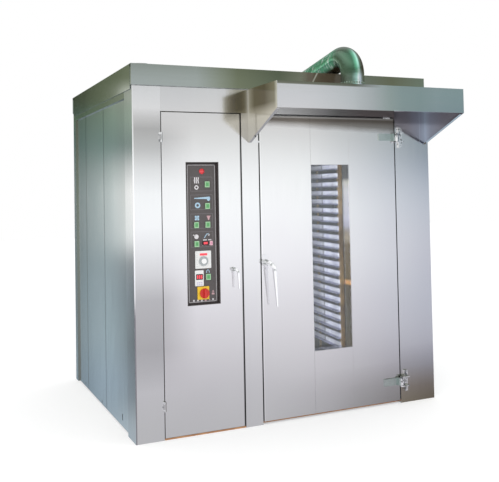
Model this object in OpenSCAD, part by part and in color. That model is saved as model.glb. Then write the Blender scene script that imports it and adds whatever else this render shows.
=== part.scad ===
// Rotating rack oven: a stainless casing with a baking chamber, a rack that hangs from a roof
// drive and turns in it, a service bay with the burner, and a steam canopy over the door.
// Millimetres, +Z up, front towards -Y, origin on the floor under the middle of the casing.

/* [Casing] */
// Width of the casing
body_w = 2200; // [2100:10:2600]
// Depth of the casing, front face to back face
body_d = 1800; // [1760:10:2200]
// Height of the casing, floor to top of the fascia
body_h = 2300; // [2295:5:2500]
// Height of the fascia band round the roof
fascia_h = 130; // [90:5:135]
// How far the fascia stands proud of the casing
fascia_proud = 5; // [2:1:15]
// How far the side fascias reach down over the casing
apron_h = 25; // [0:1:50]
// Width of the fascia's folded flanges
fascia_flange = 30; // [20:1:30]
// How far the roof fascia stands back from the right side
fascia_inset = 24; // [0:1:40]
// Thickness of the outer sheets
sheet_t = 3; // [2:0.5:4]
// Thickness of the roof deck
deck_t = 6; // [4:1:10]
// Width of the left front post
post_w = 179; // [120:1:220]
// Depth of the left front post
post_side = 180; // [150:1:220]
// Width of the two rear posts
rear_post_w = 80; // [30:1:100]
// Width of the mullion between the two doors
mullion_w = 120; // [90:1:160]
// Width of the jamb to the right of the main door
jamb_w = 287; // [260:1:330]
// Depth of the front frame
frame_t = 110; // [105:1:140]
// Height of the door openings
door_head = 2012; // [1950:1:2014]
// Height of the rail over the side panels
top_rail_h = 59; // [40:1:80]
// How far the side and back panels lie behind the posts
panel_recess = 12; // [6:1:20]
// Depth of the folded panels
panel_t = 25; // [15:1:30]
// First side seam, from the front face
seam_1 = 800; // [600:5:900]
// Second side seam, from the front face
seam_2 = 1385; // [1200:5:1500]
// Gap at a panel seam
seam_gap = 3; // [1:0.5:6]

/* [Base] */
// Thickness of the base plate
base_t = 10; // [6:1:12]
// Thickness of the chamber floor on the base plate
floor_t = 18; // [10:1:30]

/* [Main door] */
// Gap round the sides of the main door
main_gap = 8; // [6:0.5:12]
// Thickness of the main door
main_door_t = 90; // [70:1:95]
// Height of the bottom edge of the main door
main_door_bottom = 20; // [14:1:40]
// Gap over the main door
main_head_gap = 12; // [8:1:20]
// Thickness of the door skins
skin_t = 2.5; // [1.5:0.5:4]
// Left side of the window, from the left edge of the opening
window_inset = 386; // [300:1:420]
// Width of the window
window_w = 299; // [200:1:320]
// Bottom edge of the window
window_z = 430; // [350:1:600]
// Height of the window
window_h = 1248; // [900:1:1300]
// Thickness of a window pane
pane_t = 6; // [4:1:8]
// How far the outer pane lies behind the door face
pane_inset = 10; // [6:1:16]
// Thickness of the strips that line the window
trim_t = 2; // [1:0.5:4]
// Width of the door seal
seal_w = 20; // [14:1:25]
// Thickness of the door seal
seal_t = 5; // [4:0.5:8]

/* [Main door hinges] */
// Height of the lower hinge
hinge_low_z = 155; // [120:1:300]
// Height of the upper hinge
hinge_high_z = 1868; // [1700:1:1880]
// How far the hinge line lies in front of the casing
hinge_out = 24; // [20:1:30]
// Radius of a hinge barrel
barrel_r = 18; // [14:0.5:19]
// Length of a hinge barrel
barrel_h = 54; // [40:1:80]
// Radius of a hinge pin
hinge_pin_r = 7; // [5:0.5:9]
// Length of a door leaf, from the hinge line
leaf_l = 136; // [90:1:160]
// Thickness of a door leaf
leaf_t = 8; // [5:1:10]
// Length of a jamb plate
jamb_plate_h = 144; // [110:1:180]

/* [Main door lever] */
// Lever hub, from the left edge of the opening
lever_inset = 36; // [28:1:60]
// Height of the lever hub
lever_z = 1045; // [900:1:1200]
// How far the lever arm stands off the door
lever_out = 68; // [50:1:80]
// Radius of the lever spindle
lever_spindle_r = 8; // [6:0.5:10]
// Length of the lever arm below the hub
lever_arm = 288; // [180:1:320]
// Radius of the lever arm at its top
lever_top_r = 14; // [10:0.5:16]
// Radius of the lever arm at its tip
lever_tip_r = 6.5; // [5:0.5:9]
// Width of the plate behind the lever hub
lever_plate_w = 38; // [34:1:40]
// Height of the plate behind the lever hub
lever_plate_h = 96; // [60:1:160]

/* [Service door] */
// Width of the opening of the service door
control_bay_w = 543; // [480:1:620]
// Gap round the service door
control_gap = 5; // [4:0.5:8]
// Depth of the folded service door
control_door_t = 40; // [30:1:50]
// Height of the bottom edge of the service door
control_door_bottom = 13; // [11:1:30]
// Length of a service hinge knuckle
knuckle_h = 30; // [24:1:60]
// Radius of a service hinge knuckle
knuckle_r = 7; // [6:0.5:7.5]
// Radius of a service hinge pin
service_pin_r = 3; // [2:0.5:4]
// Latch hub, from the right edge of the opening
latch_inset = 70; // [60:1:120]
// Height of the latch hub
latch_z = 1012; // [900:1:1200]
// How far the latch arm stands off the door
latch_out = 46; // [30:1:60]
// Length of the latch arm below the hub
latch_arm = 122; // [90:1:160]
// Radius of the latch spindle
latch_spindle_r = 6; // [4:0.5:8]

/* [Control panel] */
// Left side of the control panel, from the left edge of the opening
panel_inset = 160; // [120:1:180]
// Width of the control panel
panel_w = 221; // [215:1:240]
// Bottom edge of the control panel
panel_z = 800; // [700:1:900]
// Height of the control panel
panel_h = 896; // [890:1:920]
// How far the instrument plate lies behind the door face
panel_depth = 23; // [18:1:30]
// Thickness of the instrument plate
plate_t = 3; // [2:0.5:4]
// Width of a large button
button_w = 30; // [20:1:34]
// Height of a large button
button_h = 37; // [24:1:42]
// Width of the small button
small_button_w = 17; // [12:1:20]
// Height of the small button
small_button_h = 27; // [16:1:30]
// How far a button stands out of the instrument plate
button_out = 9; // [6:0.5:12]
// Depth of a button, front to back
button_d = 22; // [18:1:26]
// Clearance round a button
button_fit = 0.4; // [0.3:0.1:0.8]
// Radius of the temperature dial
dial_r = 30; // [20:1:34]
// Radius of the main switch knob
knob_r = 31; // [22:1:36]

/* [Canopy] */
// How far the canopy reaches out from the casing
canopy_reach = 430; // [350:5:500]
// Height of the canopy's front sheet
canopy_front_h = 162; // [100:1:163]
// Height of the canopy's cheeks at the casing
cheek_h = 348; // [250:1:400]
// Canopy to the left of the main opening
canopy_left = 69; // [40:1:110]
// Canopy to the right of the main opening
canopy_right = 262; // [150:1:270]
// Width of the canopy's folded edges
canopy_fold = 20; // [15:1:30]
// Width of the cheek flanges on the casing
cheek_flange = 45; // [30:1:60]

/* [Exhaust duct] */
// Place of the duct across the casing
exhaust_x = 350; // [320:5:450]
// Distance of the duct's foot from the casing
exhaust_out = 195; // [150:5:250]
// Outer radius of the duct
duct_r = 78; // [60:1:79]
// Wall of the duct
duct_wall = 2; // [1:0.5:4]
// Straight height of the duct above the canopy
duct_riser = 99; // [95:1:140]
// Radius of the duct's bend, on its middle line
bend_r = 128; // [110:1:160]
// Fall of the duct behind its bend, in degrees
duct_fall = 10; // [6:0.5:10]
// Length of the duct's falling run
duct_run = 560; // [500:5:620]

/* [Exhaust blower] */
// Width of the blower box
blower_w = 280; // [240:5:320]
// Depth of the blower box
blower_d = 165; // [150:1:170]
// Height of the blower box
blower_h = 217; // [210:1:230]
// Radius of the blower wheel
blower_wheel_r = 78; // [50:1:84]
// Radius of the blower's outlet
outlet_r = 60; // [40:1:70]
// Length of the blower's outlet
outlet_l = 60; // [40:1:100]

/* [Baking chamber] */
// Width of the chamber
chamber_w = 1180; // [1100:5:1185]
// Distance of the rack's axis from the front face
rack_axis_back = 750; // [720:5:800]
// Distance from the rack's axis to the chamber's back wall
chamber_reach = 600; // [560:5:640]
// Height of the chamber above its floor
chamber_h = 2012; // [2000:1:2025]
// Thickness of the chamber's sheets
liner_t = 4; // [2:0.5:6]
// Depth of the air space behind the chamber
plenum_d = 246; // [200:1:280]
// Thickness of the wool behind the chamber
wool_t = 100; // [60:5:110]

/* [Lamps] */
// Number of lamps in the right wall
lamp_count = 4; // [2:1:4]
// Height of the lowest lamp
lamp_z = 740; // [600:5:800]
// Height from lamp to lamp
lamp_pitch = 375; // [300:5:380]
// Width of a lamp housing
lamp_w = 100; // [80:5:140]
// Height of a lamp housing
lamp_h = 140; // [110:5:180]
// Depth of a lamp housing
lamp_d = 60; // [56:1:80]

/* [Rack] */
// Width of the rack
rack_w = 650; // [600:5:660]
// Depth of the rack
rack_d = 800; // [700:5:810]
// Turn of the rack at rest, in degrees, clockwise from above
rack_turn = 6; // [0:1:20]
// Number of tray levels
tiers = 22; // [10:1:22]
// Height from level to level
tier_pitch = 65; // [60:1:66]
// Height of the lowest rail
first_tier_z = 353; // [300:1:360]
// Height of a rail's upright leg
rail_h = 39; // [25:1:42]
// Width of a rail's ledge
rail_ledge = 25; // [15:1:35]
// Thickness of a rail
rail_t = 2.5; // [2:0.5:4]
// Side of the rack's square tubes
tube_w = 30; // [25:1:35]
// Height of the rack's base bars
rack_base_z = 150; // [145:1:170]
// Height of the rack's top bars
rack_top_z = 1800; // [1790:5:1810]
// Height of the lifting bar over the rack's top bars
lift_rise = 40; // [30:1:50]
// Radius of a castor wheel
wheel_r = 50; // [40:1:52]
// Width of a castor wheel
wheel_w = 30; // [20:1:34]
// Radius of a castor axle
axle_r = 6; // [4:0.5:8]
// Clearance under the castors while the rack hangs
wheel_lift = 4; // [2:0.5:8]

/* [Rack drive] */
// Radius of the hanger shaft
hanger_r = 20; // [15:0.5:25]
// Length of the hanger shaft inside the gearmotor
hanger_grip = 90; // [60:1:100]
// Radius of the gearmotor's case
gearmotor_r = 75; // [60:1:78]
// Height of the gearmotor
gearmotor_h = 250; // [180:5:260]

/* [Circulation fan] */
// Radius of the circulation fan
fan_r = 230; // [160:5:240]
// Height of the circulation fan
fan_h = 130; // [100:5:150]
// Number of fan blades
fan_blades = 10; // [6:1:16]
// Radius of the fan shaft
fan_shaft_r = 12; // [8:0.5:16]
// Radius of the fan motor
fan_motor_r = 95; // [70:1:110]
// Height of the fan motor
fan_motor_h = 230; // [150:5:240]

/* [Heating] */
// Radius of the combustion drum
drum_r = 200; // [160:5:220]
// Height of the drum's axis
drum_z = 430; // [420:5:480]
// Length of the combustion drum
drum_l = 720; // [600:5:760]
// Radius of an exchanger tube
tube_r = 25; // [15:1:28]
// Radius of the burner's blast tube
blast_r = 60; // [40:1:80]
// Radius of the flue below the roof
flue_r = 70; // [50:1:74]
// Radius of the flue collar above the roof
flue_collar_r = 75; // [75:1:90]
// Height of the flue collar above the roof
flue_collar_h = 245; // [150:5:250]
// Radius of the water inlet pipe
water_r = 10.5; // [8:0.5:14]
// Length of the water inlet pipe behind the casing
water_out = 30; // [20:1:60]

// Radius of the cable entry in the roof deck
supply_r = 16; // [10:0.5:25]
// Radius of the fuel line entry in the roof deck
fuel_r = 11; // [8:0.5:20]

/* [Fits] */
// Gap between pieces that are set side by side
fit = 0.3; // [0.2:0.05:0.5]
// Radial clearance of a shaft in its bore
running = 0.05; // [0.02:0.01:0.1]

/* [Hidden] */
$fn = 64;
eps = 1;

front = -body_d / 2;
back = body_d / 2;
left = -body_w / 2;
right = body_w / 2;
roof_z = body_h - fascia_h;
deck_z = roof_z - deck_t;
frame_back = front + frame_t;
floor_z = base_t + floor_t;
panel_out_x = body_w / 2 - panel_recess;
panel_in_x = panel_out_x - panel_t;

control_l = left + post_w;
control_r = control_l + control_bay_w;
main_l = control_r + mullion_w;
main_r = right - jamb_w;

leaf_x0 = main_l + main_gap;
leaf_x1 = main_r - main_gap;
leaf_z1 = door_head - main_head_gap;
leaf_back = front + main_door_t;
window_x0 = main_l + window_inset;
window_x1 = window_x0 + window_w;
window_z1 = window_z + window_h;
seal_face = leaf_back + seal_t;
stop_w = seal_w + main_gap;
stop_depth = frame_back - seal_face - fit;

hinge_x = main_r - main_gap / 2;
hinge_y = front - hinge_out;
hinge_zs = [hinge_low_z, hinge_high_z];
ear_t = 8;
ear_r = 14;
jamb_plate_w = 26;
jamb_plate_t = 14;
jamb_plate_x = main_r + 24;

lever_x = main_l + lever_inset;
lever_plate_t = 5;
spindle_l = 55;
joint_swell = 0.3;

service_x0 = control_l + control_gap;
service_x1 = control_r - control_gap;
service_z1 = door_head - control_gap - 1;
service_hinge_x = control_l + control_gap / 2;
service_hinge_y = front - knuckle_r - 1;
service_hinge_zs = [205, 1850];
strap_t = 3;
strap_l = 14;
latch_x = control_r - latch_inset;
cam_l = 45;

panel_x0 = control_l + panel_inset;
panel_x1 = panel_x0 + panel_w;
panel_z1 = panel_z + panel_h;
plate_y = front + panel_depth;

// Places on the instrument plate, from its left bottom corner
burner_at = [149, 755];
steam_at = [149, 618];
fan_at = [73, 500];
lamp_at = [149, 500];
alarm_at = [73, 381];
reset_at = [170, 383];
timer_at = [147, 171];
dial_at = [116, 272];
knob_at = [119, 70];
pilot_at = [114, 838];

canopy_z1 = roof_z - 2;
canopy_x0 = main_l - canopy_left;
canopy_x1 = main_r + canopy_right;
canopy_y = front - canopy_reach;
canopy_z0 = canopy_z1 - canopy_front_h;
cheek_z0 = canopy_z1 - cheek_h;
canopy_t = 2;

exhaust_y = front - exhaust_out;
duct_z0 = canopy_z1 + fit;
bend_z = canopy_z1 + duct_riser;
bend_y = exhaust_y + bend_r;
fall_y = bend_y + bend_r * sin(duct_fall);
fall_z = bend_z + bend_r * cos(duct_fall);
duct_turn = 90 + duct_fall;
weld_gap = 0.1;
spigot_h = 30;
blower_y0 = fall_y + (duct_run - 10) * cos(duct_fall);
blower_z = fall_z - duct_run * sin(duct_fall);
blower_y1 = blower_y0 + blower_d;
outlet_y = blower_y0 + blower_d / 2;
vent_room = 40;
vent_w = 2 * (outlet_r + vent_room);

rack_x = (main_l + main_r) / 2;
rack_y = front + rack_axis_back;
chamber_x0 = rack_x - chamber_w / 2;
chamber_x1 = rack_x + chamber_w / 2;
chamber_y1 = rack_y + chamber_reach;
chamber_z1 = floor_z + chamber_h;
ceiling_z = chamber_z1 + liner_t;
plenum_y = chamber_y1 + liner_t;
wool_y = plenum_y + plenum_d;
panel_play = 3;
wool_x = -panel_in_x + panel_play;
wool_x1 = panel_in_x - panel_play;
bay_wall = 60;
bay_x0 = wool_x + bay_wall;
bay_x1 = chamber_x0 - liner_t;
bay_x = (bay_x0 + bay_x1) / 2;
bulkhead_y = front + 580;
bulkhead_t = 40;
bay_y0 = bulkhead_y + bulkhead_t;

fan_y = bay_y0 + 490;
fan_plate_z = 1830;
fan_z = fan_plate_z + 20;
flue_x = bay_x - 190;
flue_y = bay_y0 + 80;
header_z0 = 760;
header_z1 = 1560;
header_w = 540;
header_d = 60;
entry_x = left + post_w - 60;
entry_y = front + post_side + 90;
entry_pitch = 120;
steam_top_z = 1480;
inlet_r = water_r + 3;

post_in = rack_w / 2 - tube_w;
rack_fit = 0.2;
lift_z = rack_top_z + tube_w + lift_rise;
hook_x = 120;
wheel_z = floor_z + wheel_lift + wheel_r;
castor_x = rack_w / 2 - 60;
castor_y = rack_d / 2 - 80;

// ---- helpers ----

// A block between two corners
module block(lo, hi) {
    translate(lo) cube(hi - lo);
}

// A cylinder along +Y from a point
module rod_y(at, r, l) {
    translate(at) rotate([-90, 0, 0]) cylinder(r = r, h = l);
}

// A cylinder along +X from a point
module rod_x(at, r, l) {
    translate(at) rotate([0, 90, 0]) cylinder(r = r, h = l);
}

// A round bar that tapers from one point to another
module bar(a, b, r1, r2) {
    v = b - a;
    l = norm(v);
    translate(a)
        rotate([0, acos(v.z / l), atan2(v.y, v.x)])
            cylinder(r1 = r1, r2 = r2, h = l);
}

// An upright box section, open at both ends
module box_post(lo, hi, t) {
    difference() {
        block(lo, hi);
        block([lo.x + t, lo.y + t, lo.z - eps], [hi.x - t, hi.y - t, hi.z + eps]);
    }
}

// A folded panel in an X plane: flat outside at x, folds towards dir
module x_pan(x, dir, y0, y1, z0, z1) {
    x_in = x + dir * panel_t;
    x_skin = x + dir * sheet_t;
    difference() {
        block([min(x, x_in), y0, z0], [max(x, x_in), y1, z1]);
        block([dir > 0 ? x_skin : x_in - eps, y0 + sheet_t, z0 + sheet_t],
              [dir > 0 ? x_in + eps : x_skin, y1 - sheet_t, z1 - sheet_t]);
    }
}

// Places the rack's pieces: its axis, turned as it stands at rest
module at_rack() {
    translate([rack_x, rack_y, 0]) rotate([0, 0, -rack_turn]) children();
}

// ---- casing ----

module base_plate() {
    color("sienna") {
        union() {
            block([-panel_in_x, front + post_side, 0], [panel_in_x, back - rear_post_w, base_t]);
            block([control_l, frame_back, 0], [panel_in_x, front + post_side + eps, base_t]);
            block([control_l, front + 4, 0], [control_r, frame_back + eps, base_t]);
            block([main_l, front + 40, 0], [main_r, frame_back + eps, base_t]);
        }
    }
}

module left_front_post() {
    color("silver")
        box_post([left, front, 0], [control_l, front + post_side, deck_z], sheet_t);
}

module right_jamb() {
    color("silver") union() {
        box_post([main_r, front, 0], [right, frame_back, deck_z], sheet_t);
        block([main_r - stop_w, frame_back - stop_depth, floor_z], [main_r, frame_back, door_head]);
    }
}

module door_mullion() {
    color("silver") union() {
        box_post([control_r, front, 0], [main_l, frame_back, door_head], sheet_t);
        block([main_l, frame_back - stop_depth, floor_z], [main_l + stop_w, frame_back, door_head]);
    }
}

module header_beam() {
    color("silver") {
        difference() {
            block([control_l, front, door_head], [main_r, frame_back, deck_z]);
            block([control_l - eps, front + sheet_t, door_head + sheet_t],
                  [main_r + eps, frame_back - sheet_t, deck_z - sheet_t]);
        }
        block([main_l + stop_w + fit, frame_back - stop_depth, door_head - stop_w],
              [main_r - stop_w - fit, frame_back, door_head]);
    }
}

// Rear posts, each with the rail that runs forward over its side panels
module side_frames() {
    color("silver") for (side = [-1, 1]) {
        start = side < 0 ? front + post_side : frame_back;
        x_out = side * body_w / 2;
        union() {
            box_post([min(x_out, x_out - side * rear_post_w), back - rear_post_w, 0],
                     [max(x_out, x_out - side * rear_post_w), back, deck_z], sheet_t);
            block([min(x_out, side * panel_out_x), start, deck_z - top_rail_h],
                  [max(x_out, side * panel_out_x), back - rear_post_w + eps, deck_z]);
        }
    }
}

module left_side_panels() {
    edges = [front + post_side, front + seam_1, front + seam_2, back - rear_post_w];
    slots = [[30, 22, 34], [184, 69, 42], [seam_1 - post_side + 131, 28, 22],
             [seam_2 - post_side + 94, 32, 20]];
    color("lightslategray") difference() {
        for (i = [0:2])
            x_pan(-panel_out_x, 1, edges[i] + (i == 0 ? 0 : seam_gap / 2),
                  edges[i + 1] - (i == 2 ? 0 : seam_gap / 2), base_t, deck_z);
        for (s = slots)
            block([-panel_out_x - eps, edges[0] + s[0] - 6, max(s[1] - s[2] / 2, base_t + 4)],
                  [-panel_out_x + sheet_t + eps, edges[0] + s[0] + 6, s[1] + s[2] / 2]);
    }
}

module right_side_panels() {
    edges = [frame_back, front + seam_1, front + seam_2, back - rear_post_w];
    color("lightslategray")
        for (i = [0:2])
            x_pan(panel_out_x, -1, edges[i] + (i == 0 ? 0 : seam_gap / 2),
                  edges[i + 1] - (i == 2 ? 0 : seam_gap / 2), base_t, deck_z);
}

module back_panels() {
    third = (body_w - 2 * rear_post_w) / 3;
    y_out = back - panel_recess;
    y_in = y_out - panel_t;
    color("lightslategray") difference() {
        for (i = [0:2]) {
            x0 = left + rear_post_w + i * third + (i == 0 ? 0 : seam_gap / 2);
            x1 = left + rear_post_w + (i + 1) * third - (i == 2 ? 0 : seam_gap / 2);
            difference() {
                block([x0, y_in, base_t], [x1, y_out, deck_z]);
                block([x0 + sheet_t, y_in - eps, base_t + sheet_t],
                      [x1 - sheet_t, y_out - sheet_t, deck_z - sheet_t]);
            }
        }
        for (row = [0:9])
            block([left + rear_post_w + 160, y_out - sheet_t - eps, 300 + row * 40],
                  [left + rear_post_w + third - 160, y_out + eps, 312 + row * 40]);
        rod_y([rack_x, y_in - eps, steam_top_z], water_r + fit, panel_t + 2 * eps);
    }
}

module roof_fascia() {
    x_left = left - fascia_proud;
    x_right_end = right - fascia_inset;
    y_out = body_d / 2 + fascia_proud;
    color("darkolivegreen") {
        for (side = [-1, 1]) {
            y_edge = side * y_out;
            y_in = side * (y_out - fascia_flange);
            y_skin = side * (y_out - sheet_t);
            difference() {
                block([x_left, min(y_edge, y_in), roof_z], [x_right_end, max(y_edge, y_in), body_h]);
                block([x_left - eps, side < 0 ? y_skin : y_in - eps, roof_z + sheet_t],
                      [x_right_end + eps, side < 0 ? y_in + eps : y_skin, body_h - sheet_t]);
            }
        }
        for (side = [-1, 1]) {
            x_edge = side < 0 ? x_left : x_right_end;
            x_in = x_edge - side * fascia_flange;
            x_skin = x_edge - side * sheet_t;
            y_end = y_out - fascia_flange - fit;
            difference() {
                union() {
                    difference() {
                        block([min(x_edge, x_in), -y_end, roof_z], [max(x_edge, x_in), y_end, body_h]);
                        block([side < 0 ? x_skin : x_in - eps, -y_end - eps, roof_z + sheet_t],
                              [side < 0 ? x_in + eps : x_skin, y_end + eps, body_h - sheet_t]);
                    }
                    // apron over the head of the left side panels
                    if (side < 0)
                        block([x_edge, -y_end, roof_z - apron_h], [x_skin, y_end, roof_z + eps]);
                }
                // the way out of the vent pipe, open at the top
                if (side > 0)
                    block([x_in - eps, outlet_y - vent_w / 2, blower_z - vent_w / 2],
                          [x_edge + eps, outlet_y + vent_w / 2, body_h + eps]);
            }
        }
    }
}

module roof_deck() {
    color("gray") difference() {
        block([left, front, deck_z], [right, back, roof_z]);
        translate([rack_x, rack_y, deck_z - eps]) cylinder(r = hanger_r + 4, h = deck_t + 2 * eps);
        translate([bay_x, fan_y, deck_z - eps]) cylinder(r = fan_shaft_r + 4, h = deck_t + 2 * eps);
        translate([flue_x, flue_y, deck_z - eps]) cylinder(r = flue_r + fit, h = deck_t + 2 * eps);
        translate([entry_x, entry_y, deck_z - eps]) cylinder(r = supply_r, h = deck_t + 2 * eps);
        translate([entry_x, entry_y + entry_pitch, deck_z - eps]) cylinder(r = fuel_r, h = deck_t + 2 * eps);
    }
}

// ---- baking chamber ----

module chamber_floor() {
    color("gray")
        block([chamber_x0 - liner_t, frame_back, base_t], [chamber_x1 + liner_t, wool_y, floor_z]);
}

module chamber_wall_liners() {
    slot_w = 30;
    slot_h = 260;
    slot_z = 160;
    slot_pitch = 120;
    color("silver") {
        difference() {
            block([chamber_x0 - liner_t, frame_back, floor_z], [chamber_x0, chamber_y1 - fit, chamber_z1]);
            for (col = [0:5], row = [0:3])
                block([chamber_x0 - liner_t - eps, rack_y - 330 + col * slot_pitch, 300 + row * 400],
                      [chamber_x0 + eps, rack_y - 330 + col * slot_pitch + slot_w, 300 + row * 400 + slot_h]);
        }
        difference() {
            block([chamber_x1, frame_back, floor_z], [chamber_x1 + liner_t, chamber_y1 - fit, chamber_z1]);
            for (i = [0:lamp_count - 1])
                block([chamber_x1 - eps, rack_y - lamp_w / 2 - fit, lamp_z + i * lamp_pitch - lamp_h / 2 - fit],
                      [chamber_x1 + liner_t + eps, rack_y + lamp_w / 2 + fit,
                       lamp_z + i * lamp_pitch + lamp_h / 2 + fit]);
        }
        difference() {
            block([chamber_x0 - liner_t, chamber_y1, floor_z],
                  [chamber_x1 + liner_t, chamber_y1 + liner_t, chamber_z1]);
            for (col = [0:7], z = [slot_z, chamber_z1 - slot_z - slot_h])
                block([chamber_x0 + 130 + col * slot_pitch, chamber_y1 - eps, z],
                      [chamber_x0 + 130 + col * slot_pitch + slot_w, chamber_y1 + liner_t + eps, z + slot_h]);
        }
    }
}

module chamber_ceiling() {
    color("silver") difference() {
        block([chamber_x0 - liner_t, frame_back, chamber_z1], [chamber_x1 + liner_t, wool_y, ceiling_z]);
        translate([rack_x, rack_y, chamber_z1 - eps]) cylinder(r = hanger_r + 6, h = liner_t + 2 * eps);
    }
}

module insulation_slabs() {
    x_right = chamber_x1 + liner_t;
    color("khaki") {
        // over the chamber
        difference() {
            block([bay_x1, frame_back, ceiling_z], [wool_x1, wool_y + wool_t, deck_z]);
            translate([rack_x, rack_y, ceiling_z - eps]) cylinder(r = hanger_r + 10, h = deck_z);
        }
        // over the heating bay
        difference() {
            block([wool_x, bulkhead_y, ceiling_z], [bay_x1 - fit, wool_y + wool_t, deck_z]);
            translate([bay_x, fan_y, ceiling_z - eps]) cylinder(r = fan_shaft_r + 10, h = deck_z);
            translate([flue_x, flue_y, ceiling_z - eps]) cylinder(r = flue_r + 3, h = deck_z);
        }
        // right of the chamber, with pockets for the lamps
        difference() {
            block([x_right, frame_back, base_t], [wool_x1, wool_y - fit, ceiling_z - fit]);
            for (i = [0:lamp_count - 1])
                block([x_right - eps, rack_y - lamp_w / 2 - fit, lamp_z + i * lamp_pitch - lamp_h / 2 - fit],
                      [chamber_x1 + lamp_d + fit, rack_y + lamp_w / 2 + fit,
                       lamp_z + i * lamp_pitch + lamp_h / 2 + fit]);
        }
        // behind the chamber and the heating bay
        difference() {
            block([wool_x, wool_y, base_t], [wool_x1, wool_y + wool_t, ceiling_z - fit]);
            rod_y([rack_x, wool_y - eps, steam_top_z], water_r + fit, wool_t + 2 * eps);
        }
        // left of the heating bay
        block([wool_x, bulkhead_y, base_t], [bay_x0, wool_y - fit, ceiling_z - fit]);
        // between the service bay and the heating bay
        difference() {
            block([bay_x0 + fit, bulkhead_y, base_t], [bay_x1, bay_y0, ceiling_z - fit]);
            rod_y([bay_x, bulkhead_y - eps, drum_z], blast_r + 2, bulkhead_t + 2 * eps);
        }
    }
}

module chamber_lamps() {
    wall = 2;
    glass_t = 4;
    color("gainsboro")
        for (i = [0:lamp_count - 1])
            translate([chamber_x1, rack_y, lamp_z + i * lamp_pitch]) {
                difference() {
                    block([0, -lamp_w / 2, -lamp_h / 2], [lamp_d, lamp_w / 2, lamp_h / 2]);
                    block([-eps, -lamp_w / 2 + wall, -lamp_h / 2 + wall],
                          [lamp_d - wall, lamp_w / 2 - wall, lamp_h / 2 - wall]);
                }
                block([fit, -lamp_w / 2 + wall + fit, -lamp_h / 2 + wall + fit],
                      [glass_t, lamp_w / 2 - wall - fit, lamp_h / 2 - wall - fit]);
            }
}

module lamp_bulbs() {
    bulb_r = 20;
    socket_l = 16;
    color("gold")
        for (i = [0:lamp_count - 1])
            translate([chamber_x1 + lamp_d - 2 - fit, rack_y, lamp_z + i * lamp_pitch])
                rotate([0, -90, 0]) union() {
                    cylinder(r = 13, h = socket_l);
                    translate([0, 0, socket_l + bulb_r - 8]) sphere(r = bulb_r);
                }
}

// ---- heating bay ----

// Drum, two headers and the tubes between them, all hollow
module heat_exchanger() {
    drum_wall = 6;
    header_wall = 4;
    tube_wall = 2.5;
    cols = 5;
    rows = 7;
    x0 = bay_x - header_w / 2;
    x1 = bay_x + header_w / 2;
    flue_room = 5;
    front_y0 = flue_y - flue_r - flue_room;
    front_y1 = flue_y + flue_r + flue_room;
    rear_y1 = bay_y0 + drum_l;
    rear_y0 = rear_y1 - header_d;
    rear_z0 = drum_z - drum_r;
    color("dimgray") {
        // drum on its saddles, open to the rear header
        difference() {
            union() {
                rod_y([bay_x, bay_y0, drum_z], drum_r, drum_l - header_wall);
                for (y = [bay_y0 + 120, rear_y1 - 180])
                    block([bay_x - 120, y, base_t], [bay_x + 120, y + 40, drum_z]);
                block([x0, rear_y0, rear_z0], [x1, rear_y1, header_z1]);
            }
            rod_y([bay_x, bay_y0 + drum_wall, drum_z], drum_r - drum_wall, drum_l - drum_wall - header_wall);
            block([x0 + header_wall, rear_y0 + header_wall, rear_z0 + header_wall],
                  [x1 - header_wall, rear_y1 - header_wall, header_z1 - header_wall]);
            rod_y([bay_x, bay_y0 - eps, drum_z], blast_r + 2, drum_wall + 2 * eps);
        }
        // front header, open to the flue
        difference() {
            block([x0, front_y0, header_z0], [x1, front_y1, header_z1]);
            block([x0 + header_wall, front_y0 + header_wall, header_z0 + header_wall],
                  [x1 - header_wall, front_y1 - header_wall, header_z1 - header_wall]);
            translate([flue_x, flue_y, header_z1 - header_wall - eps])
                cylinder(r = flue_r - 2, h = header_wall + 2 * eps);
        }
        for (c = [0:cols - 1], r = [0:rows - 1])
            translate([x0 + (c + 0.5) * header_w / cols, front_y1 + fit,
                       header_z0 + (r + 0.5) * (header_z1 - header_z0) / rows])
                rotate([-90, 0, 0]) difference() {
                    cylinder(r = tube_r, h = rear_y0 - front_y1 - 2 * fit);
                    translate([0, 0, -eps])
                        cylinder(r = tube_r - tube_wall, h = rear_y0 - front_y1 + 2 * eps);
                }
    }
}

module burner() {
    case_r = 110;
    case_l = 170;
    flange_t = 10;
    color("firebrick") union() {
        rod_y([bay_x, bulkhead_y - flange_t, drum_z], blast_r, flange_t + bulkhead_t - fit);
        block([bay_x - 125, bulkhead_y - flange_t, drum_z - 125], [bay_x + 125, bulkhead_y, drum_z + 125]);
        rod_y([bay_x, bulkhead_y - flange_t - case_l, drum_z], case_r, case_l + 1);
        rod_y([bay_x + case_r, bulkhead_y - 130, drum_z - 60], 55, 110);
        block([bay_x - 95, bulkhead_y - 150, drum_z + 60], [bay_x + 95, bulkhead_y - 30, drum_z + 150]);
    }
}

module fan_casing() {
    ring_h = 16;
    color("lightgray") difference() {
        union() {
            block([bay_x0, bay_y0, fan_plate_z], [bay_x1, wool_y, fan_plate_z + liner_t]);
            translate([bay_x, fan_y, fan_plate_z]) cylinder(r = fan_r - 20, h = ring_h);
        }
        translate([bay_x, fan_y, fan_plate_z - eps]) cylinder(r = fan_r - 30, h = ring_h + 2 * eps);
        translate([flue_x, flue_y, fan_plate_z - eps]) cylinder(r = flue_r + fit, h = ring_h + 2 * eps);
    }
}

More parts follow.
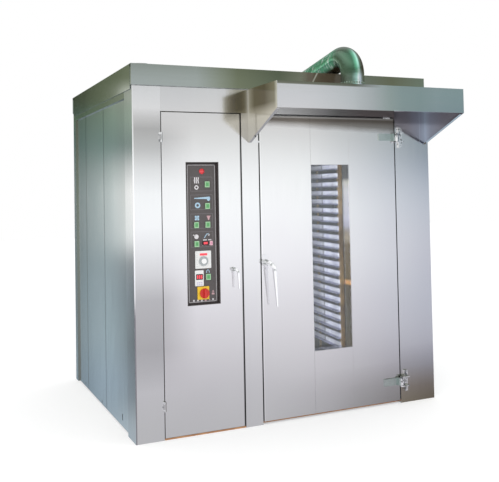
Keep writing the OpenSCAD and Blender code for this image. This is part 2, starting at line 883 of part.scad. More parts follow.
module fan_motor() {
    foot_t = 12;
    color("steelblue") difference() {
        translate([bay_x, fan_y, roof_z]) union() {
            cylinder(r = fan_motor_r + 25, h = foot_t);
            cylinder(r = fan_motor_r, h = fan_motor_h - 12);
            cylinder(r = fan_motor_r - 15, h = fan_motor_h);
            for (a = [0:15:345])
                rotate([0, 0, a])
                    block([fan_motor_r - 3, -2, 40], [fan_motor_r + 8, 2, fan_motor_h - 40]);
            block([fan_motor_r - 10, -45, 70], [fan_motor_r + 45, 45, 150]);
        }
        translate([bay_x, fan_y, roof_z - eps]) cylinder(r = fan_shaft_r + running, h = 70 + eps);
    }
}

module fan_impeller() {
    plate_r = fan_r;
    hub_r = 40;
    color("silver") translate([bay_x, fan_y, 0]) union() {
        translate([0, 0, fan_z]) cylinder(r = hub_r, h = fan_h);
        translate([0, 0, fan_z + fan_h - 4]) cylinder(r = plate_r, h = 4);
        translate([0, 0, fan_z]) difference() {
            cylinder(r = plate_r, h = 3);
            translate([0, 0, -eps]) cylinder(r = plate_r - 70, h = 3 + 2 * eps);
        }
        for (i = [0:fan_blades - 1])
            rotate([0, 0, i * 360 / fan_blades])
                translate([plate_r - 75, 0, fan_z])
                    rotate([0, 0, 35])
                        block([0, -1.5, 0], [80, 1.5, fan_h]);
        translate([0, 0, fan_z]) cylinder(r = fan_shaft_r, h = roof_z + 69 - fan_z);
    }
}

module steam_generator() {
    half = 300;
    depth = 130;
    trays = 6;
    rise = 170;
    low = 430;
    top = steam_top_z;
    color("darkgray") union() {
        for (s = [-1, 1])
            block([rack_x + s * half - 2, plenum_y, low - 60], [rack_x + s * half + 2, plenum_y + depth, top + 30]);
        for (i = [0:trays - 1])
            translate([rack_x - half, plenum_y, low + i * rise])
                rotate([i % 2 == 0 ? 12 : -12, 0, 0])
                    block([0, i % 2 == 0 ? 2 : 4, -3], [2 * half, depth - 6, 3]);
        rod_x([rack_x - half, plenum_y + depth / 2, top], water_r + 3, 2 * half);
        rod_y([rack_x, plenum_y + depth / 2, top], water_r, back + 2 - plenum_y - depth / 2);
        rod_y([rack_x, back, top], inlet_r, water_out);
    }
}

module flue_pipe() {
    color("lightgray") translate([flue_x, flue_y, 0]) difference() {
        union() {
            translate([0, 0, header_z1]) cylinder(r = flue_r, h = roof_z - header_z1 + 1);
            translate([0, 0, roof_z]) cylinder(r = flue_collar_r + 15, h = 3);
            translate([0, 0, roof_z]) cylinder(r = flue_collar_r, h = flue_collar_h);
        }
        translate([0, 0, header_z1 - eps])
            cylinder(r = flue_r - 2, h = roof_z + flue_collar_h - header_z1 + 2 * eps);
    }
}

module electrical_plate() {
    plate_w = 460;
    plate_z0 = 900;
    plate_z1 = 1750;
    rows = 3;
    cols = 6;
    rail_h = 20;
    edge = 20;
    switch_w = 50;
    switch_h = 100;
    x0 = bay_x - plate_w / 2;
    y = bulkhead_y;
    row_pitch = (plate_z1 - plate_z0) / (rows + 0.15);
    col_pitch = (plate_w - 2 * edge) / (cols + 0.35);
    color("ivory") union() {
        block([x0, y - 4, plate_z0], [x0 + plate_w, y, plate_z1]);
        for (row = [0:rows - 1]) {
            z = plate_z0 + (row + 0.35) * row_pitch;
            block([x0 + edge, y - 12, z - rail_h / 2], [x0 + plate_w - edge, y - 3, z + rail_h / 2]);
            for (col = [0:cols - 1])
                block([x0 + edge + 15 + col * col_pitch, y - 80, z - switch_h / 2],
                      [x0 + edge + 15 + col * col_pitch + switch_w, y - 11, z + switch_h / 2]);
        }
    }
}

// ---- canopy and exhaust ----

module canopy_shell() {
    ring_r = duct_r + 10;
    x0 = canopy_x0 + canopy_t + fit;
    x1 = canopy_x1 - canopy_t - fit;
    color("lightsteelblue") difference() {
        union() {
            block([x0, canopy_y, canopy_z1 - canopy_t], [x1, front, canopy_z1]);
            block([x0, canopy_y, canopy_z0], [x1, canopy_y + canopy_t, canopy_z1]);
            block([x0, canopy_y, canopy_z0], [x1, canopy_y + canopy_fold, canopy_z0 + canopy_t]);
            translate([exhaust_x, exhaust_y, canopy_z1 - canopy_t])
                cylinder(r = duct_r - duct_wall - fit, h = spigot_h + canopy_t);
        }
        translate([exhaust_x, exhaust_y, canopy_z1 - canopy_t - eps])
            cylinder(r = duct_r - duct_wall - fit - 1.5, h = spigot_h + canopy_t + 2 * eps);
    }
}

module canopy_cheeks() {
    drop = (canopy_z0 - cheek_z0) / canopy_reach;
    fold_lift = 1;
    fold_y0 = canopy_y + canopy_fold + fit;
    fold_y1 = front - canopy_t / 2;
    fold_z0 = cheek_z0 + (front - fold_y0) * drop + fold_lift;
    fold_z1 = cheek_z0 + (front - fold_y1) * drop + fold_lift;
    foot_z = cheek_z0 + canopy_t;
    foot_w = 46;
    foot_h = 12;
    color("lightsteelblue") for (side = [-1, 1]) {
        x = side < 0 ? canopy_x0 : canopy_x1;
        x_in = x - side * canopy_t;
        x_fold = x - side * canopy_fold;
        x_flange = x - side * cheek_flange;
        x_foot = x_flange - side * foot_w;
        union() {
            translate([min(x, x_in), 0, 0]) rotate([90, 0, 90]) linear_extrude(canopy_t)
                polygon([[front, canopy_z1], [canopy_y, canopy_z1], [canopy_y, canopy_z0], [front, cheek_z0]]);
            // folded lower edge
            translate([min(x, x_fold), 0, 0]) rotate([90, 0, 90]) linear_extrude(canopy_fold)
                polygon([[fold_y0, fold_z0], [fold_y1, fold_z1],
                         [fold_y1, fold_z1 + canopy_t], [fold_y0, fold_z0 + canopy_t]]);
            // flange on the casing, and its foot
            block([min(x, x_flange), front - canopy_t, foot_z],
                  [max(x, x_flange), front, canopy_z1 - canopy_t - fit]);
            block([min(x_flange, x_foot), front - canopy_t, foot_z],
                  [max(x_flange, x_foot), front, foot_z + foot_h]);
        }
    }
}

// A straight length of the duct
module duct_tube(l) {
    difference() {
        cylinder(r = duct_r, h = l);
        translate([0, 0, -eps]) cylinder(r = duct_r - duct_wall, h = l + 2 * eps);
    }
}

// Riser, bend and falling run, set end to end
module exhaust_duct() {
    color("mediumseagreen") {
        translate([exhaust_x, exhaust_y, duct_z0]) duct_tube(bend_z - duct_z0 - weld_gap);
        translate([exhaust_x, bend_y, bend_z])
            rotate([90, 0, -90])
                rotate_extrude(angle = duct_turn)
                    translate([bend_r, 0]) difference() {
                        circle(r = duct_r);
                        circle(r = duct_r - duct_wall);
                    }
        translate([exhaust_x, fall_y, fall_z])
            rotate([-duct_turn, 0, 0]) translate([0, 0, weld_gap]) duct_tube(duct_run - weld_gap);
    }
}

module exhaust_blower() {
    wall = 2;
    x0 = exhaust_x - blower_w / 2;
    x1 = exhaust_x + blower_w / 2;
    z1 = roof_z + blower_h;
    color("silver") difference() {
        union() {
            block([x0, blower_y0, roof_z], [x1, blower_y1, z1]);
            rod_x([x1 - eps, outlet_y, blower_z], outlet_r, outlet_l + eps);
        }
        block([x0 + wall, blower_y0 + wall, roof_z + wall], [x1 - wall, blower_y1 - wall, z1 - wall]);
        rod_x([x1 - wall - eps, outlet_y, blower_z], outlet_r - 2, outlet_l + wall + 2 * eps);
        translate([exhaust_x, fall_y, fall_z])
            rotate([-duct_turn, 0, 0]) cylinder(r = duct_r + fit, h = duct_run + 20);
    }
}

module blower_motor() {
    motor_r = 45;
    motor_l = 45;
    color("steelblue") difference() {
        rod_y([exhaust_x, blower_y1 - 2 - motor_l, blower_z], motor_r, motor_l);
        rod_y([exhaust_x, blower_y1 - 2 - motor_l - eps, blower_z], 8 + running, 30 + eps);
    }
}

module blower_impeller() {
    width = 50;
    y_back = blower_y1 - 2 - 45 - 8;
    blades = 12;
    color("silver") union() {
        rod_y([exhaust_x, y_back - width, blower_z], 16, width);
        rod_y([exhaust_x, y_back - 3, blower_z], blower_wheel_r, 3);
        rod_y([exhaust_x, y_back - 1, blower_z], 8, 36);
        for (i = [0:blades - 1])
            translate([exhaust_x, y_back - width, blower_z])
                rotate([0, i * 360 / blades, 0])
                    translate([blower_wheel_r - 26, 0, 0])
                        rotate([0, -30, 0])
                            block([0, 0, -1], [26, width - 1, 1]);
    }
}

// ---- rack and its drive ----

module rack_gearmotor() {
    foot = 95;
    color("steelblue") difference() {
        translate([rack_x, rack_y, roof_z]) union() {
            block([-foot, -foot * 0.8, 0], [foot, foot * 0.8, 12]);
            cylinder(r = gearmotor_r, h = gearmotor_h * 0.5);
            cylinder(r = gearmotor_r - 12, h = gearmotor_h);
            for (a = [0:20:340])
                rotate([0, 0, a])
                    block([gearmotor_r - 15, -2, gearmotor_h * 0.5 - 1],
                          [gearmotor_r - 4, 2, gearmotor_h - 25]);
        }
        translate([rack_x, rack_y, roof_z - eps])
            cylinder(r = hanger_r + running, h = hanger_grip + 1 + eps);
    }
}

module rack_hanger() {
    beam_z = lift_z + tube_w + 30;
    beam_h = 40;
    toe = 8;
    color("silver") at_rack() union() {
        translate([0, 0, beam_z]) cylinder(r = hanger_r, h = roof_z + hanger_grip - beam_z);
        translate([0, 0, beam_z]) cylinder(r = hanger_r + 15, h = beam_h + 12);
        block([-hook_x - 20, -25, beam_z], [hook_x + 20, 25, beam_z + beam_h]);
        for (s = [-1, 1]) {
            block([s * hook_x - 8, tube_w / 2 + 2, lift_z - toe], [s * hook_x + 8, 25, beam_z + 1]);
            block([s * hook_x - 8, -tube_w / 2 + 4, lift_z - toe], [s * hook_x + 8, 25, lift_z]);
        }
    }
}

module rack_frame() {
    hx = rack_w / 2;
    hy = rack_d / 2;
    g = rack_fit;
    fork_t = 4;
    bar_w = 460;
    color("silver") at_rack() {
        // corner posts and the two middle posts
        for (sx = [-1, 1], sy = [-1, 1])
            block([min(sx * hx, sx * post_in), min(sy * hy, sy * (hy - tube_w)), rack_base_z + tube_w + g],
                  [max(sx * hx, sx * post_in), max(sy * hy, sy * (hy - tube_w)), rack_top_z - g]);
        for (sx = [-1, 1])
            block([min(sx * (post_in + 12), sx * post_in), -10, rack_base_z + tube_w + g],
                  [max(sx * (post_in + 12), sx * post_in), 10, rack_top_z - g]);
        // base and top bars
        for (z = [rack_base_z, rack_top_z]) {
            for (sx = [-1, 1])
                block([min(sx * hx, sx * post_in), -hy, z], [max(sx * hx, sx * post_in), hy, z + tube_w]);
            for (sy = [-1, 1])
                block([-post_in + g, min(sy * hy, sy * (hy - tube_w)), z],
                      [post_in - g, max(sy * hy, sy * (hy - tube_w)), z + tube_w]);
        }
        // the lifting bar on its two legs, carried by two cross ties
        for (s = [-1, 1])
            block([s * 200 - 15, -hy + tube_w + g, rack_top_z], [s * 200 + 15, hy - tube_w - g, rack_top_z + tube_w]);
        for (s = [-1, 1])
            block([s * 200 - 15, -tube_w / 2, rack_top_z + tube_w + g], [s * 200 + 15, tube_w / 2, lift_z - g]);
        block([-bar_w / 2, -tube_w / 2, lift_z], [bar_w / 2, tube_w / 2, lift_z + tube_w]);
        // castor forks with their axles
        for (sx = [-1, 1], sy = [-1, 1])
            translate([sx * castor_x, sy * castor_y, 0]) union() {
                block([-30, -45, rack_base_z - 10], [30, 45, rack_base_z - g]);
                for (s = [-1, 1])
                    block([min(s * (wheel_w / 2 + 1), s * (wheel_w / 2 + 1 + fork_t)), -16, wheel_z - 14],
                          [max(s * (wheel_w / 2 + 1), s * (wheel_w / 2 + 1 + fork_t)), 16, rack_base_z - 9]);
                rod_x([-wheel_w / 2 - 8, 0, wheel_z], axle_r, wheel_w + 16);
                // the fork plate reaches out under the base bar
                block([sx < 0 ? -60 : -30, -20, rack_base_z - 10],
                      [sx < 0 ? 30 : 60, 20, rack_base_z - g]);
            }
    }
}

module rack_rails() {
    x_out = post_in - rack_fit;
    length = rack_d - 20;
    color("gainsboro") at_rack()
        for (side = [-1, 1], i = [0:tiers - 1]) {
            z = first_tier_z + i * tier_pitch;
            union() {
                block([min(side * x_out, side * (x_out - rail_t)), -length / 2, z],
                      [max(side * x_out, side * (x_out - rail_t)), length / 2, z + rail_h]);
                block([min(side * x_out, side * (x_out - rail_ledge)), -length / 2, z],
                      [max(side * x_out, side * (x_out - rail_ledge)), length / 2, z + rail_t]);
            }
        }
}

module castor_wheel(sx, sy) {
    color("dimgray") at_rack() difference() {
        union() {
            rod_x([sx * castor_x - wheel_w / 2, sy * castor_y, wheel_z], wheel_r - 3, wheel_w);
            rod_x([sx * castor_x - wheel_w / 2 + 5, sy * castor_y, wheel_z], wheel_r, wheel_w - 10);
        }
        rod_x([sx * castor_x - wheel_w, sy * castor_y, wheel_z], axle_r + running, 2 * wheel_w);
    }
}
module castor_wheel_1() castor_wheel(-1, -1);
module castor_wheel_2() castor_wheel(1, -1);
module castor_wheel_3() castor_wheel(-1, 1);
module castor_wheel_4() castor_wheel(1, 1);

// ---- hinges ----

module jamb_hinges() {
    color("white") {
        for (z = hinge_zs) {
            half = barrel_h / 2 + fit;
            union() {
                block([jamb_plate_x, front - jamb_plate_t, z - jamb_plate_h / 2],
                      [jamb_plate_x + jamb_plate_w, front, z + jamb_plate_h / 2]);
                for (low = [z + half, z - half - ear_t]) {
                    block([hinge_x, hinge_y - ear_r, low], [jamb_plate_x + jamb_plate_w, front - 4, low + ear_t]);
                    translate([hinge_x, hinge_y, low]) cylinder(r = ear_r, h = ear_t);
                }
                translate([hinge_x, hinge_y, z - half - ear_t]) cylinder(r = hinge_pin_r, h = 2 * (half + ear_t));
            }
        }
        for (z = service_hinge_zs) {
            half = knuckle_h / 2 + fit;
            union() {
                for (low = [z + half, z - half - knuckle_h / 2]) {
                    translate([service_hinge_x, service_hinge_y, low]) cylinder(r = knuckle_r, h = knuckle_h / 2);
                    block([service_hinge_x - strap_l, front - strap_t, low],
                          [service_hinge_x, front, low + knuckle_h / 2]);
                }
                block([service_hinge_x - strap_l, front - strap_t, z - half - 1],
                      [service_hinge_x - knuckle_r - 4, front, z + half + 1]);
                translate([service_hinge_x, service_hinge_y, z - half - knuckle_h / 2])
                    cylinder(r = service_pin_r, h = 2 * half + knuckle_h);
            }
        }
    }
}

module door_hinge_leaves() {
    color("white")
        for (z = hinge_zs)
            difference() {
                union() {
                    block([hinge_x - leaf_l, front - leaf_t, z - barrel_h / 2 + 2],
                          [hinge_x - barrel_r + 2, front, z + barrel_h / 2 - 2]);
                    block([hinge_x - barrel_r - 10, hinge_y, z - barrel_h / 2],
                          [hinge_x - 8, front, z + barrel_h / 2]);
                    translate([hinge_x, hinge_y, z - barrel_h / 2]) cylinder(r = barrel_r, h = barrel_h);
                }
                translate([hinge_x, hinge_y, z - barrel_h / 2 - eps])
                    cylinder(r = hinge_pin_r + running, h = barrel_h + 2 * eps);
            }
}

// ---- main door ----

module main_door_core() {
    y0 = front + skin_t;
    z0 = main_door_bottom;
    color("lightgray") {
        difference() {
            block([leaf_x0, y0, z0], [window_x0, leaf_back, leaf_z1]);
            rod_y([lever_x, front - eps, lever_z], lever_spindle_r + running, spindle_l + 2 * eps);
        }
        block([window_x1, y0, z0], [leaf_x1, leaf_back, leaf_z1]);
        block([window_x0 + fit, y0, z0], [window_x1 - fit, leaf_back, window_z]);
        block([window_x0 + fit, y0, window_z1], [window_x1 - fit, leaf_back, leaf_z1]);
    }
}

module main_door_skins() {
    z0 = main_door_bottom;
    y1 = front + skin_t;
    s = seam_gap / 2;
    color("gainsboro") {
        difference() {
            block([leaf_x0, front, z0], [window_x0 - s, y1, leaf_z1]);
            rod_y([lever_x, front - eps, lever_z], lever_spindle_r + running, skin_t + 2 * eps);
        }
        block([window_x1 + s, front, z0], [leaf_x1, y1, leaf_z1]);
        block([window_x0 + s, front, z0], [window_x1 - s, y1, window_z]);
        block([window_x0 + s, front, window_z1], [window_x1 - s, y1, leaf_z1]);
    }
}

// Strips that line the window, and the plate behind the lever hub
module door_trim() {
    y0 = front + skin_t + fit;
    g = fit;
    color("whitesmoke") {
        for (x = [window_x0 + g, window_x1 - g - trim_t])
            block([x, y0, window_z + trim_t + 2 * g], [x + trim_t, leaf_back, window_z1 - trim_t - 2 * g]);
        for (z = [window_z + g, window_z1 - g - trim_t])
            block([window_x0 + g, y0, z], [window_x1 - g, leaf_back, z + trim_t]);
        difference() {
            block([lever_x - lever_plate_w / 2, front - lever_plate_t, lever_z - lever_plate_h / 2],
                  [lever_x + lever_plate_w / 2, front, lever_z + lever_plate_h / 2]);
            rod_y([lever_x, front - lever_plate_t - eps, lever_z], lever_spindle_r + running,
                  lever_plate_t + 2 * eps);
        }
    }
}

module window_panes() {
    inset = trim_t + 2 * fit;
    color("lightblue", 0.4)
        for (y = [front + pane_inset, leaf_back - pane_inset - pane_t])
            block([window_x0 + inset, y, window_z + inset], [window_x1 - inset, y + pane_t, window_z1 - inset]);
}

module door_seal() {
    z0 = main_door_bottom;
    color("black") {
        for (x = [leaf_x0, leaf_x1 - seal_w])
            block([x, leaf_back, z0], [x + seal_w, seal_face, leaf_z1]);
        for (z = [z0, leaf_z1 - seal_w])
            block([leaf_x0 + seal_w + fit, leaf_back, z], [leaf_x1 - seal_w - fit, seal_face, z + seal_w]);
    }
}

// A lever that hangs at rest: hub, neck and an arm that tapers to its tip
module lever(x, z, hub_y, out, arm, hub_r, neck_r, top_r, tip_r, shift, lean) {
    elbow = [x, front - out, z];
    shoulder = [x + shift, front - out, z - shift];
    tip = [x + shift + lean, front - out, z - arm + tip_r];
    rod_y([x, hub_y - 12, z], hub_r, 12);
    rod_y(elbow, neck_r, out - front + hub_y - 11);
    translate(elbow) sphere(r = top_r + joint_swell);
    bar(elbow, shoulder, top_r, top_r);
    translate(shoulder) sphere(r = top_r + joint_swell);
    bar(shoulder, tip, top_r, tip_r);
    translate(tip) sphere(r = tip_r + joint_swell);
}

module door_lever() {
    hub_y = front - lever_plate_t - fit;
    color("white") union() {
        lever(lever_x, lever_z, hub_y, lever_out, lever_arm, 17, lever_top_r - 2, lever_top_r, lever_tip_r,
              30, 18);
        rod_y([lever_x, hub_y - 1, lever_z], lever_spindle_r, spindle_l + lever_plate_t);
    }
}

// ---- service door ----

module service_door() {
    z0 = control_door_bottom;
    y1 = front + control_door_t;
    color("gainsboro") difference() {
        union() {
            difference() {
                block([service_x0, front, z0], [service_x1, y1, service_z1]);
                block([service_x0 + sheet_t, front + sheet_t, z0 + sheet_t],
                      [service_x1 - sheet_t, y1 + eps, service_z1 - sheet_t]);
            }
            for (z = service_hinge_zs) {
                translate([service_hinge_x, service_hinge_y, z - knuckle_h / 2])
                    cylinder(r = knuckle_r, h = knuckle_h);
                block([service_hinge_x, front - strap_t, z - knuckle_h / 2],
                      [service_hinge_x + strap_l, front + 0.5, z + knuckle_h / 2]);
            }
        }
        block([panel_x0, front - eps, panel_z], [panel_x1, y1, panel_z1]);
        for (z = service_hinge_zs)
            translate([service_hinge_x, service_hinge_y, z - knuckle_h / 2 - eps])
                cylinder(r = service_pin_r + running, h = knuckle_h + 2 * eps);
        rod_y([latch_x, front - eps, latch_z], latch_spindle_r + running, sheet_t + 2 * eps);
    }
}

// The cut-out in the instrument plate for a button at a place on it
module button_hole(at, w, h) {
    block([panel_x0 + at.x - w / 2 - button_fit, plate_y - eps, panel_z + at.y - h / 2 - button_fit],
          [panel_x0 + at.x + w / 2 + button_fit, plate_y + plate_t + eps, panel_z + at.y + h / 2 + button_fit]);
}

module control_panel() {
    wall = 2.5;
    g = fit;
    color("black") difference() {
        block([panel_x0 + g, front - 1, panel_z + g], [panel_x1 - g, plate_y + plate_t, panel_z1 - g]);
        block([panel_x0 + g + wall, front - 1 - eps, panel_z + g + wall],
              [panel_x1 - g - wall, plate_y, panel_z1 - g - wall]);
        for (at = [burner_at, steam_at, fan_at, lamp_at, alarm_at, timer_at])
            button_hole(at, button_w, button_h);
        button_hole(reset_at, small_button_w, small_button_h);
    }
}

// Bezels on the instrument plate: [centre x, centre z, width, height, thickness]
bezels = [
    [114, 281, 106, 110, 6],
    [86, 166, 58, 98, 6],
    [132, 384, 42, 26, 4],
    [112, 72, 78, 81, 5]
];

module panel_instruments() {
    pilot_r = 18;
    color("white") {
        difference() {
            for (b = bezels)
                block([panel_x0 + b[0] - b[2] / 2, plate_y - b[4], panel_z + b[1] - b[3] / 2],
                      [panel_x0 + b[0] + b[2] / 2, plate_y, panel_z + b[1] + b[3] / 2]);
            for (at = [dial_at, knob_at])
                rod_y([panel_x0 + at.x, plate_y - 10, panel_z + at.y], 4 + running, 9);
        }
        translate([panel_x0 + pilot_at.x, plate_y, panel_z + pilot_at.y]) rotate([90, 0, 0]) union() {
            cylinder(r = pilot_r, h = 4);
            intersection() {
                translate([0, 0, 4 - 12]) sphere(r = 20);
                cylinder(r = 16, h = 20);
            }
        }
    }
}

module temperature_dial() {
    at = [panel_x0 + dial_at.x, panel_z + dial_at.y];
    face = plate_y - bezels[0][4] - fit;
    color("lightgray") union() {
        rod_y([at.x, face - 4, at.y], dial_r, 4);
        rod_y([at.x, face - 12, at.y], dial_r * 0.55, 9);
        block([at.x - 2, face - 15, at.y - dial_r * 0.5], [at.x + 2, face - 11, at.y + dial_r * 0.5]);
        rod_y([at.x, face - 1, at.y], 4, 5);
    }
}

module main_switch_knob() {
    at = [panel_x0 + knob_at.x, panel_z + knob_at.y];
    face = plate_y - bezels[3][4] - fit;
    color("red") union() {
        rod_y([at.x, face - 8, at.y], knob_r, 8);
        block([at.x - 7, face - 22, at.y - knob_r + 3], [at.x + 7, face - 7, at.y + knob_r - 3]);
        rod_y([at.x, face - 1, at.y], 4, 5);
    }
}

module service_latch() {
    hub_y = front - fit;
    cam_y = front + sheet_t + fit;
    color("white") union() {
        lever(latch_x, latch_z, hub_y, latch_out, latch_arm, 13, 7, 8, 5.5, 14, 3);
        rod_y([latch_x, hub_y - 1, latch_z], latch_spindle_r, sheet_t + 2 * fit + 10);
        block([latch_x - 9, cam_y, latch_z - 9], [latch_x + cam_l, cam_y + 4, latch_z + 9]);
    }
}

// A push button that slides through its hole in the instrument plate
module button(at, w, h, tint) {
    color(tint)
        block([panel_x0 + at.x - w / 2, plate_y - button_out, panel_z + at.y - h / 2],
              [panel_x0 + at.x + w / 2, plate_y - button_out + button_d, panel_z + at.y + h / 2]);
}
module burner_button() button(burner_at, button_w, button_h, "limegreen");
module steam_button() button(steam_at, button_w, button_h, "limegreen");
module fan_button() button(fan_at, button_w, button_h, "limegreen");
module lamp_button() button(lamp_at, button_w, button_h, "limegreen");
module alarm_button() button(alarm_at, button_w, button_h, "limegreen");
module timer_button() button(timer_at, button_w, button_h, "limegreen");
module reset_button() button(reset_at, small_button_w, small_button_h, "lightpink");

base_plate();
left_front_post();
right_jamb();
side_frames();
door_mullion();
header_beam();
left_side_panels();
right_side_panels();
back_panels();
roof_fascia();
roof_deck();
chamber_floor();
chamber_wall_liners();
chamber_ceiling();
insulation_slabs();
chamber_lamps();
lamp_bulbs();
heat_exchanger();
burner();
fan_casing();
fan_motor();
fan_impeller();
steam_generator();
flue_pipe();
electrical_plate();
canopy_shell();
canopy_cheeks();
exhaust_duct();
exhaust_blower();
blower_motor();
blower_impeller();
rack_gearmotor();
rack_hanger();
rack_frame();
rack_rails();
castor_wheel_1();
castor_wheel_2();
castor_wheel_3();
castor_wheel_4();
jamb_hinges();
door_hinge_leaves();
main_door_core();
main_door_skins();
door_trim();
window_panes();
door_seal();
door_lever();
service_door();
control_panel();
panel_instruments();
temperature_dial();
main_switch_knob();
service_latch();
burner_button();
steam_button();
fan_button();
lamp_button();
alarm_button();
reset_button();
timer_button();
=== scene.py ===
"""Looks of a rotating rack oven: stainless casing, recessed control panel, window on the turning
rack, steam canopy and roof duct. Metres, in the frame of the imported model."""

import math

import bmesh
import bpy
from mathutils import Matrix, Vector


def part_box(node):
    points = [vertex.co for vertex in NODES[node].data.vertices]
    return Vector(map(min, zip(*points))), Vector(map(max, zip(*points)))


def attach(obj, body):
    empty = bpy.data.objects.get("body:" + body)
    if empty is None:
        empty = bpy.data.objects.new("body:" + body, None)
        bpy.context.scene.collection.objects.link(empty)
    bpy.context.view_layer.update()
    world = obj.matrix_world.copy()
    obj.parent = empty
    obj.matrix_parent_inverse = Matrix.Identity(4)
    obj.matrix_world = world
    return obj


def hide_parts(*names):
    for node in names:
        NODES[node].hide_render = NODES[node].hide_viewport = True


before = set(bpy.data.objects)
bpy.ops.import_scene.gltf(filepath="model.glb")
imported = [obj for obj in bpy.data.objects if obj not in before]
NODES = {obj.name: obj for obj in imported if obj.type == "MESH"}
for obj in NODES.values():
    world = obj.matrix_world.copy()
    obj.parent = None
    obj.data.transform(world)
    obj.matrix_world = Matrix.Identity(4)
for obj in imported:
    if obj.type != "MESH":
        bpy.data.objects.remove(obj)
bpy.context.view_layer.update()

# ---- camera, floor and light ----

PICTURE_W, PICTURE_H = 499, 482
FOCAL_PX = 749.6
AXIS_PX = (249.5, 165.0)
CAMERA_AT = Vector((-2.316, -5.3285, 1.5146))
CAMERA_YAW = math.radians(24.228)
CAMERA_PITCH = math.radians(1.906)
CAMERA_ROLL = math.radians(-1.06)
SENSOR_MM = 36.0


def make_camera():
    data = bpy.data.cameras.new("camera")
    data.sensor_width = SENSOR_MM
    data.lens = FOCAL_PX / PICTURE_W * SENSOR_MM
    data.shift_y = (AXIS_PX[1] - PICTURE_H / 2) / PICTURE_W
    data.clip_end = 100
    obj = bpy.data.objects.new("camera", data)
    turn = Matrix.Rotation(-CAMERA_YAW, 4, "Z") @ Matrix.Rotation(math.pi / 2 + CAMERA_PITCH, 4, "X")
    obj.matrix_world = Matrix.Translation(CAMERA_AT) @ turn @ Matrix.Rotation(CAMERA_ROLL, 4, "Z")
    bpy.context.scene.collection.objects.link(obj)
    bpy.context.scene.camera = obj


make_camera()
bpy.context.scene.view_settings.view_transform = "Standard"


def make_floor():
    """Pale floor that runs into the white behind it; the steel doesn't mirror it."""
    mesh = bpy.data.meshes.new("floor")
    half = 20.0
    corners = [(-half, -half, 0), (half, -half, 0), (half, half, 0), (-half, half, 0)]
    mesh.from_pydata(corners, [], [(0, 1, 2, 3)])
    floor = bpy.data.objects.new("floor", mesh)
    bpy.context.scene.collection.objects.link(floor)
    mat = bpy.data.materials.new("floor")
    mat.use_nodes = True
    shader = mat.node_tree.nodes["Principled BSDF"]
    shader.inputs["Base Color"].default_value = (0.8, 0.8, 0.8, 1)
    shader.inputs["Roughness"].default_value = 1.0
    shader.inputs["Specular IOR Level"].default_value = 0.0
    shader.inputs["Emission Color"].default_value = (1, 1, 1, 1)
    shader.inputs["Emission Strength"].default_value = 0.3
    floor.data.materials.append(mat)
    floor.visible_glossy = False


def ramp(tree, stops):
    """A colour ramp: stops are (place, (r, g, b)), or (place, grey)."""
    node = tree.nodes.new("ShaderNodeValToRGB")
    elements = node.color_ramp.elements
    while len(elements) < len(stops):
        elements.new(0.5)
    for element, (place, colour) in zip(elements, stops):
        element.position = place
        element.color = (*(colour if isinstance(colour, tuple) else (colour,) * 3), 1)
    return node


def math_node(tree, operation, first, second=None, third=None):
    node = tree.nodes.new("ShaderNodeMath")
    node.operation = operation
    for socket, value in zip(node.inputs, (first, second, third)):
        if isinstance(value, float):
            socket.default_value = value
        elif value is not None:
            tree.links.new(value, socket)
    return node.outputs[0]


# What the steel mirrors, by the sine of the elevation: the hall in front of the doors, the same
# further to the right, the wall beside the left side, and what lies close to that side's front post.
FRONT_HALL = [
    (-1.0, (0.45, 0.45, 0.46)), (-0.30, (0.55, 0.55, 0.57)), (-0.25, (0.60, 0.59, 0.63)),
    (-0.20, (0.77, 0.76, 0.80)), (-0.15, (0.87, 0.86, 0.91)), (-0.09, (1.07, 1.08, 1.12)),
    (-0.02, (1.18, 1.21, 1.22)), (0.01, (1.14, 1.17, 1.18)), (0.04, (1.02, 1.04, 1.05)),
    (0.07, (0.80, 0.82, 0.81)), (0.09, (0.76, 0.74, 0.72)), (0.12, (0.73, 0.74, 0.77)),
    (0.15, (0.66, 0.68, 0.69)), (0.18, (0.36, 0.38, 0.34)), (0.22, (0.15, 0.16, 0.11)),
    (0.35, (0.12, 0.13, 0.08)), (0.50, (0.50, 0.52, 0.50)), (0.70, (0.95, 0.97, 0.97)),
    (1.0, (0.75, 0.77, 0.78)),
]
RIGHT_HALL = [
    (-1.0, (0.10, 0.08, 0.05)), (-0.27, (0.08, 0.06, 0.03)), (-0.25, (0.12, 0.10, 0.09)),
    (-0.22, (0.26, 0.26, 0.33)), (-0.19, (0.48, 0.49, 0.58)), (-0.13, (0.53, 0.56, 0.65)),
    (-0.08, (0.59, 0.60, 0.69)), (-0.02, (0.55, 0.60, 0.69)), (0.02, (0.34, 0.40, 0.50)),
    (0.04, (0.18, 0.25, 0.33)), (0.06, (0.19, 0.25, 0.29)), (0.12, (0.25, 0.36, 0.36)),
    (0.15, (0.23, 0.31, 0.31)), (0.20, (0.15, 0.20, 0.17)), (0.26, (0.12, 0.13, 0.08)),
    (0.35, (0.12, 0.13, 0.08)), (0.50, (0.40, 0.44, 0.42)), (0.70, (0.90, 0.93, 0.93)),
    (1.0, (0.75, 0.77, 0.78)),
]
LEFT_WALL = [
    (-1.0, (0.42, 0.52, 0.60)), (-0.28, (0.46, 0.58, 0.68)), (-0.24, (0.49, 0.63, 0.75)),
    (-0.18, (0.54, 0.68, 0.75)), (-0.12, (0.49, 0.61, 0.66)), (-0.06, (0.36, 0.46, 0.48)),
    (0.0, (0.35, 0.45, 0.45)), (0.03, (0.29, 0.39, 0.37)), (0.06, (0.20, 0.31, 0.28)),
    (0.10, (0.15, 0.23, 0.17)), (0.12, (0.12, 0.15, 0.09)), (0.30, (0.11, 0.12, 0.07)),
    (0.50, (0.40, 0.46, 0.44)), (0.70, (0.85, 0.90, 0.90)), (1.0, (0.75, 0.77, 0.78)),
]
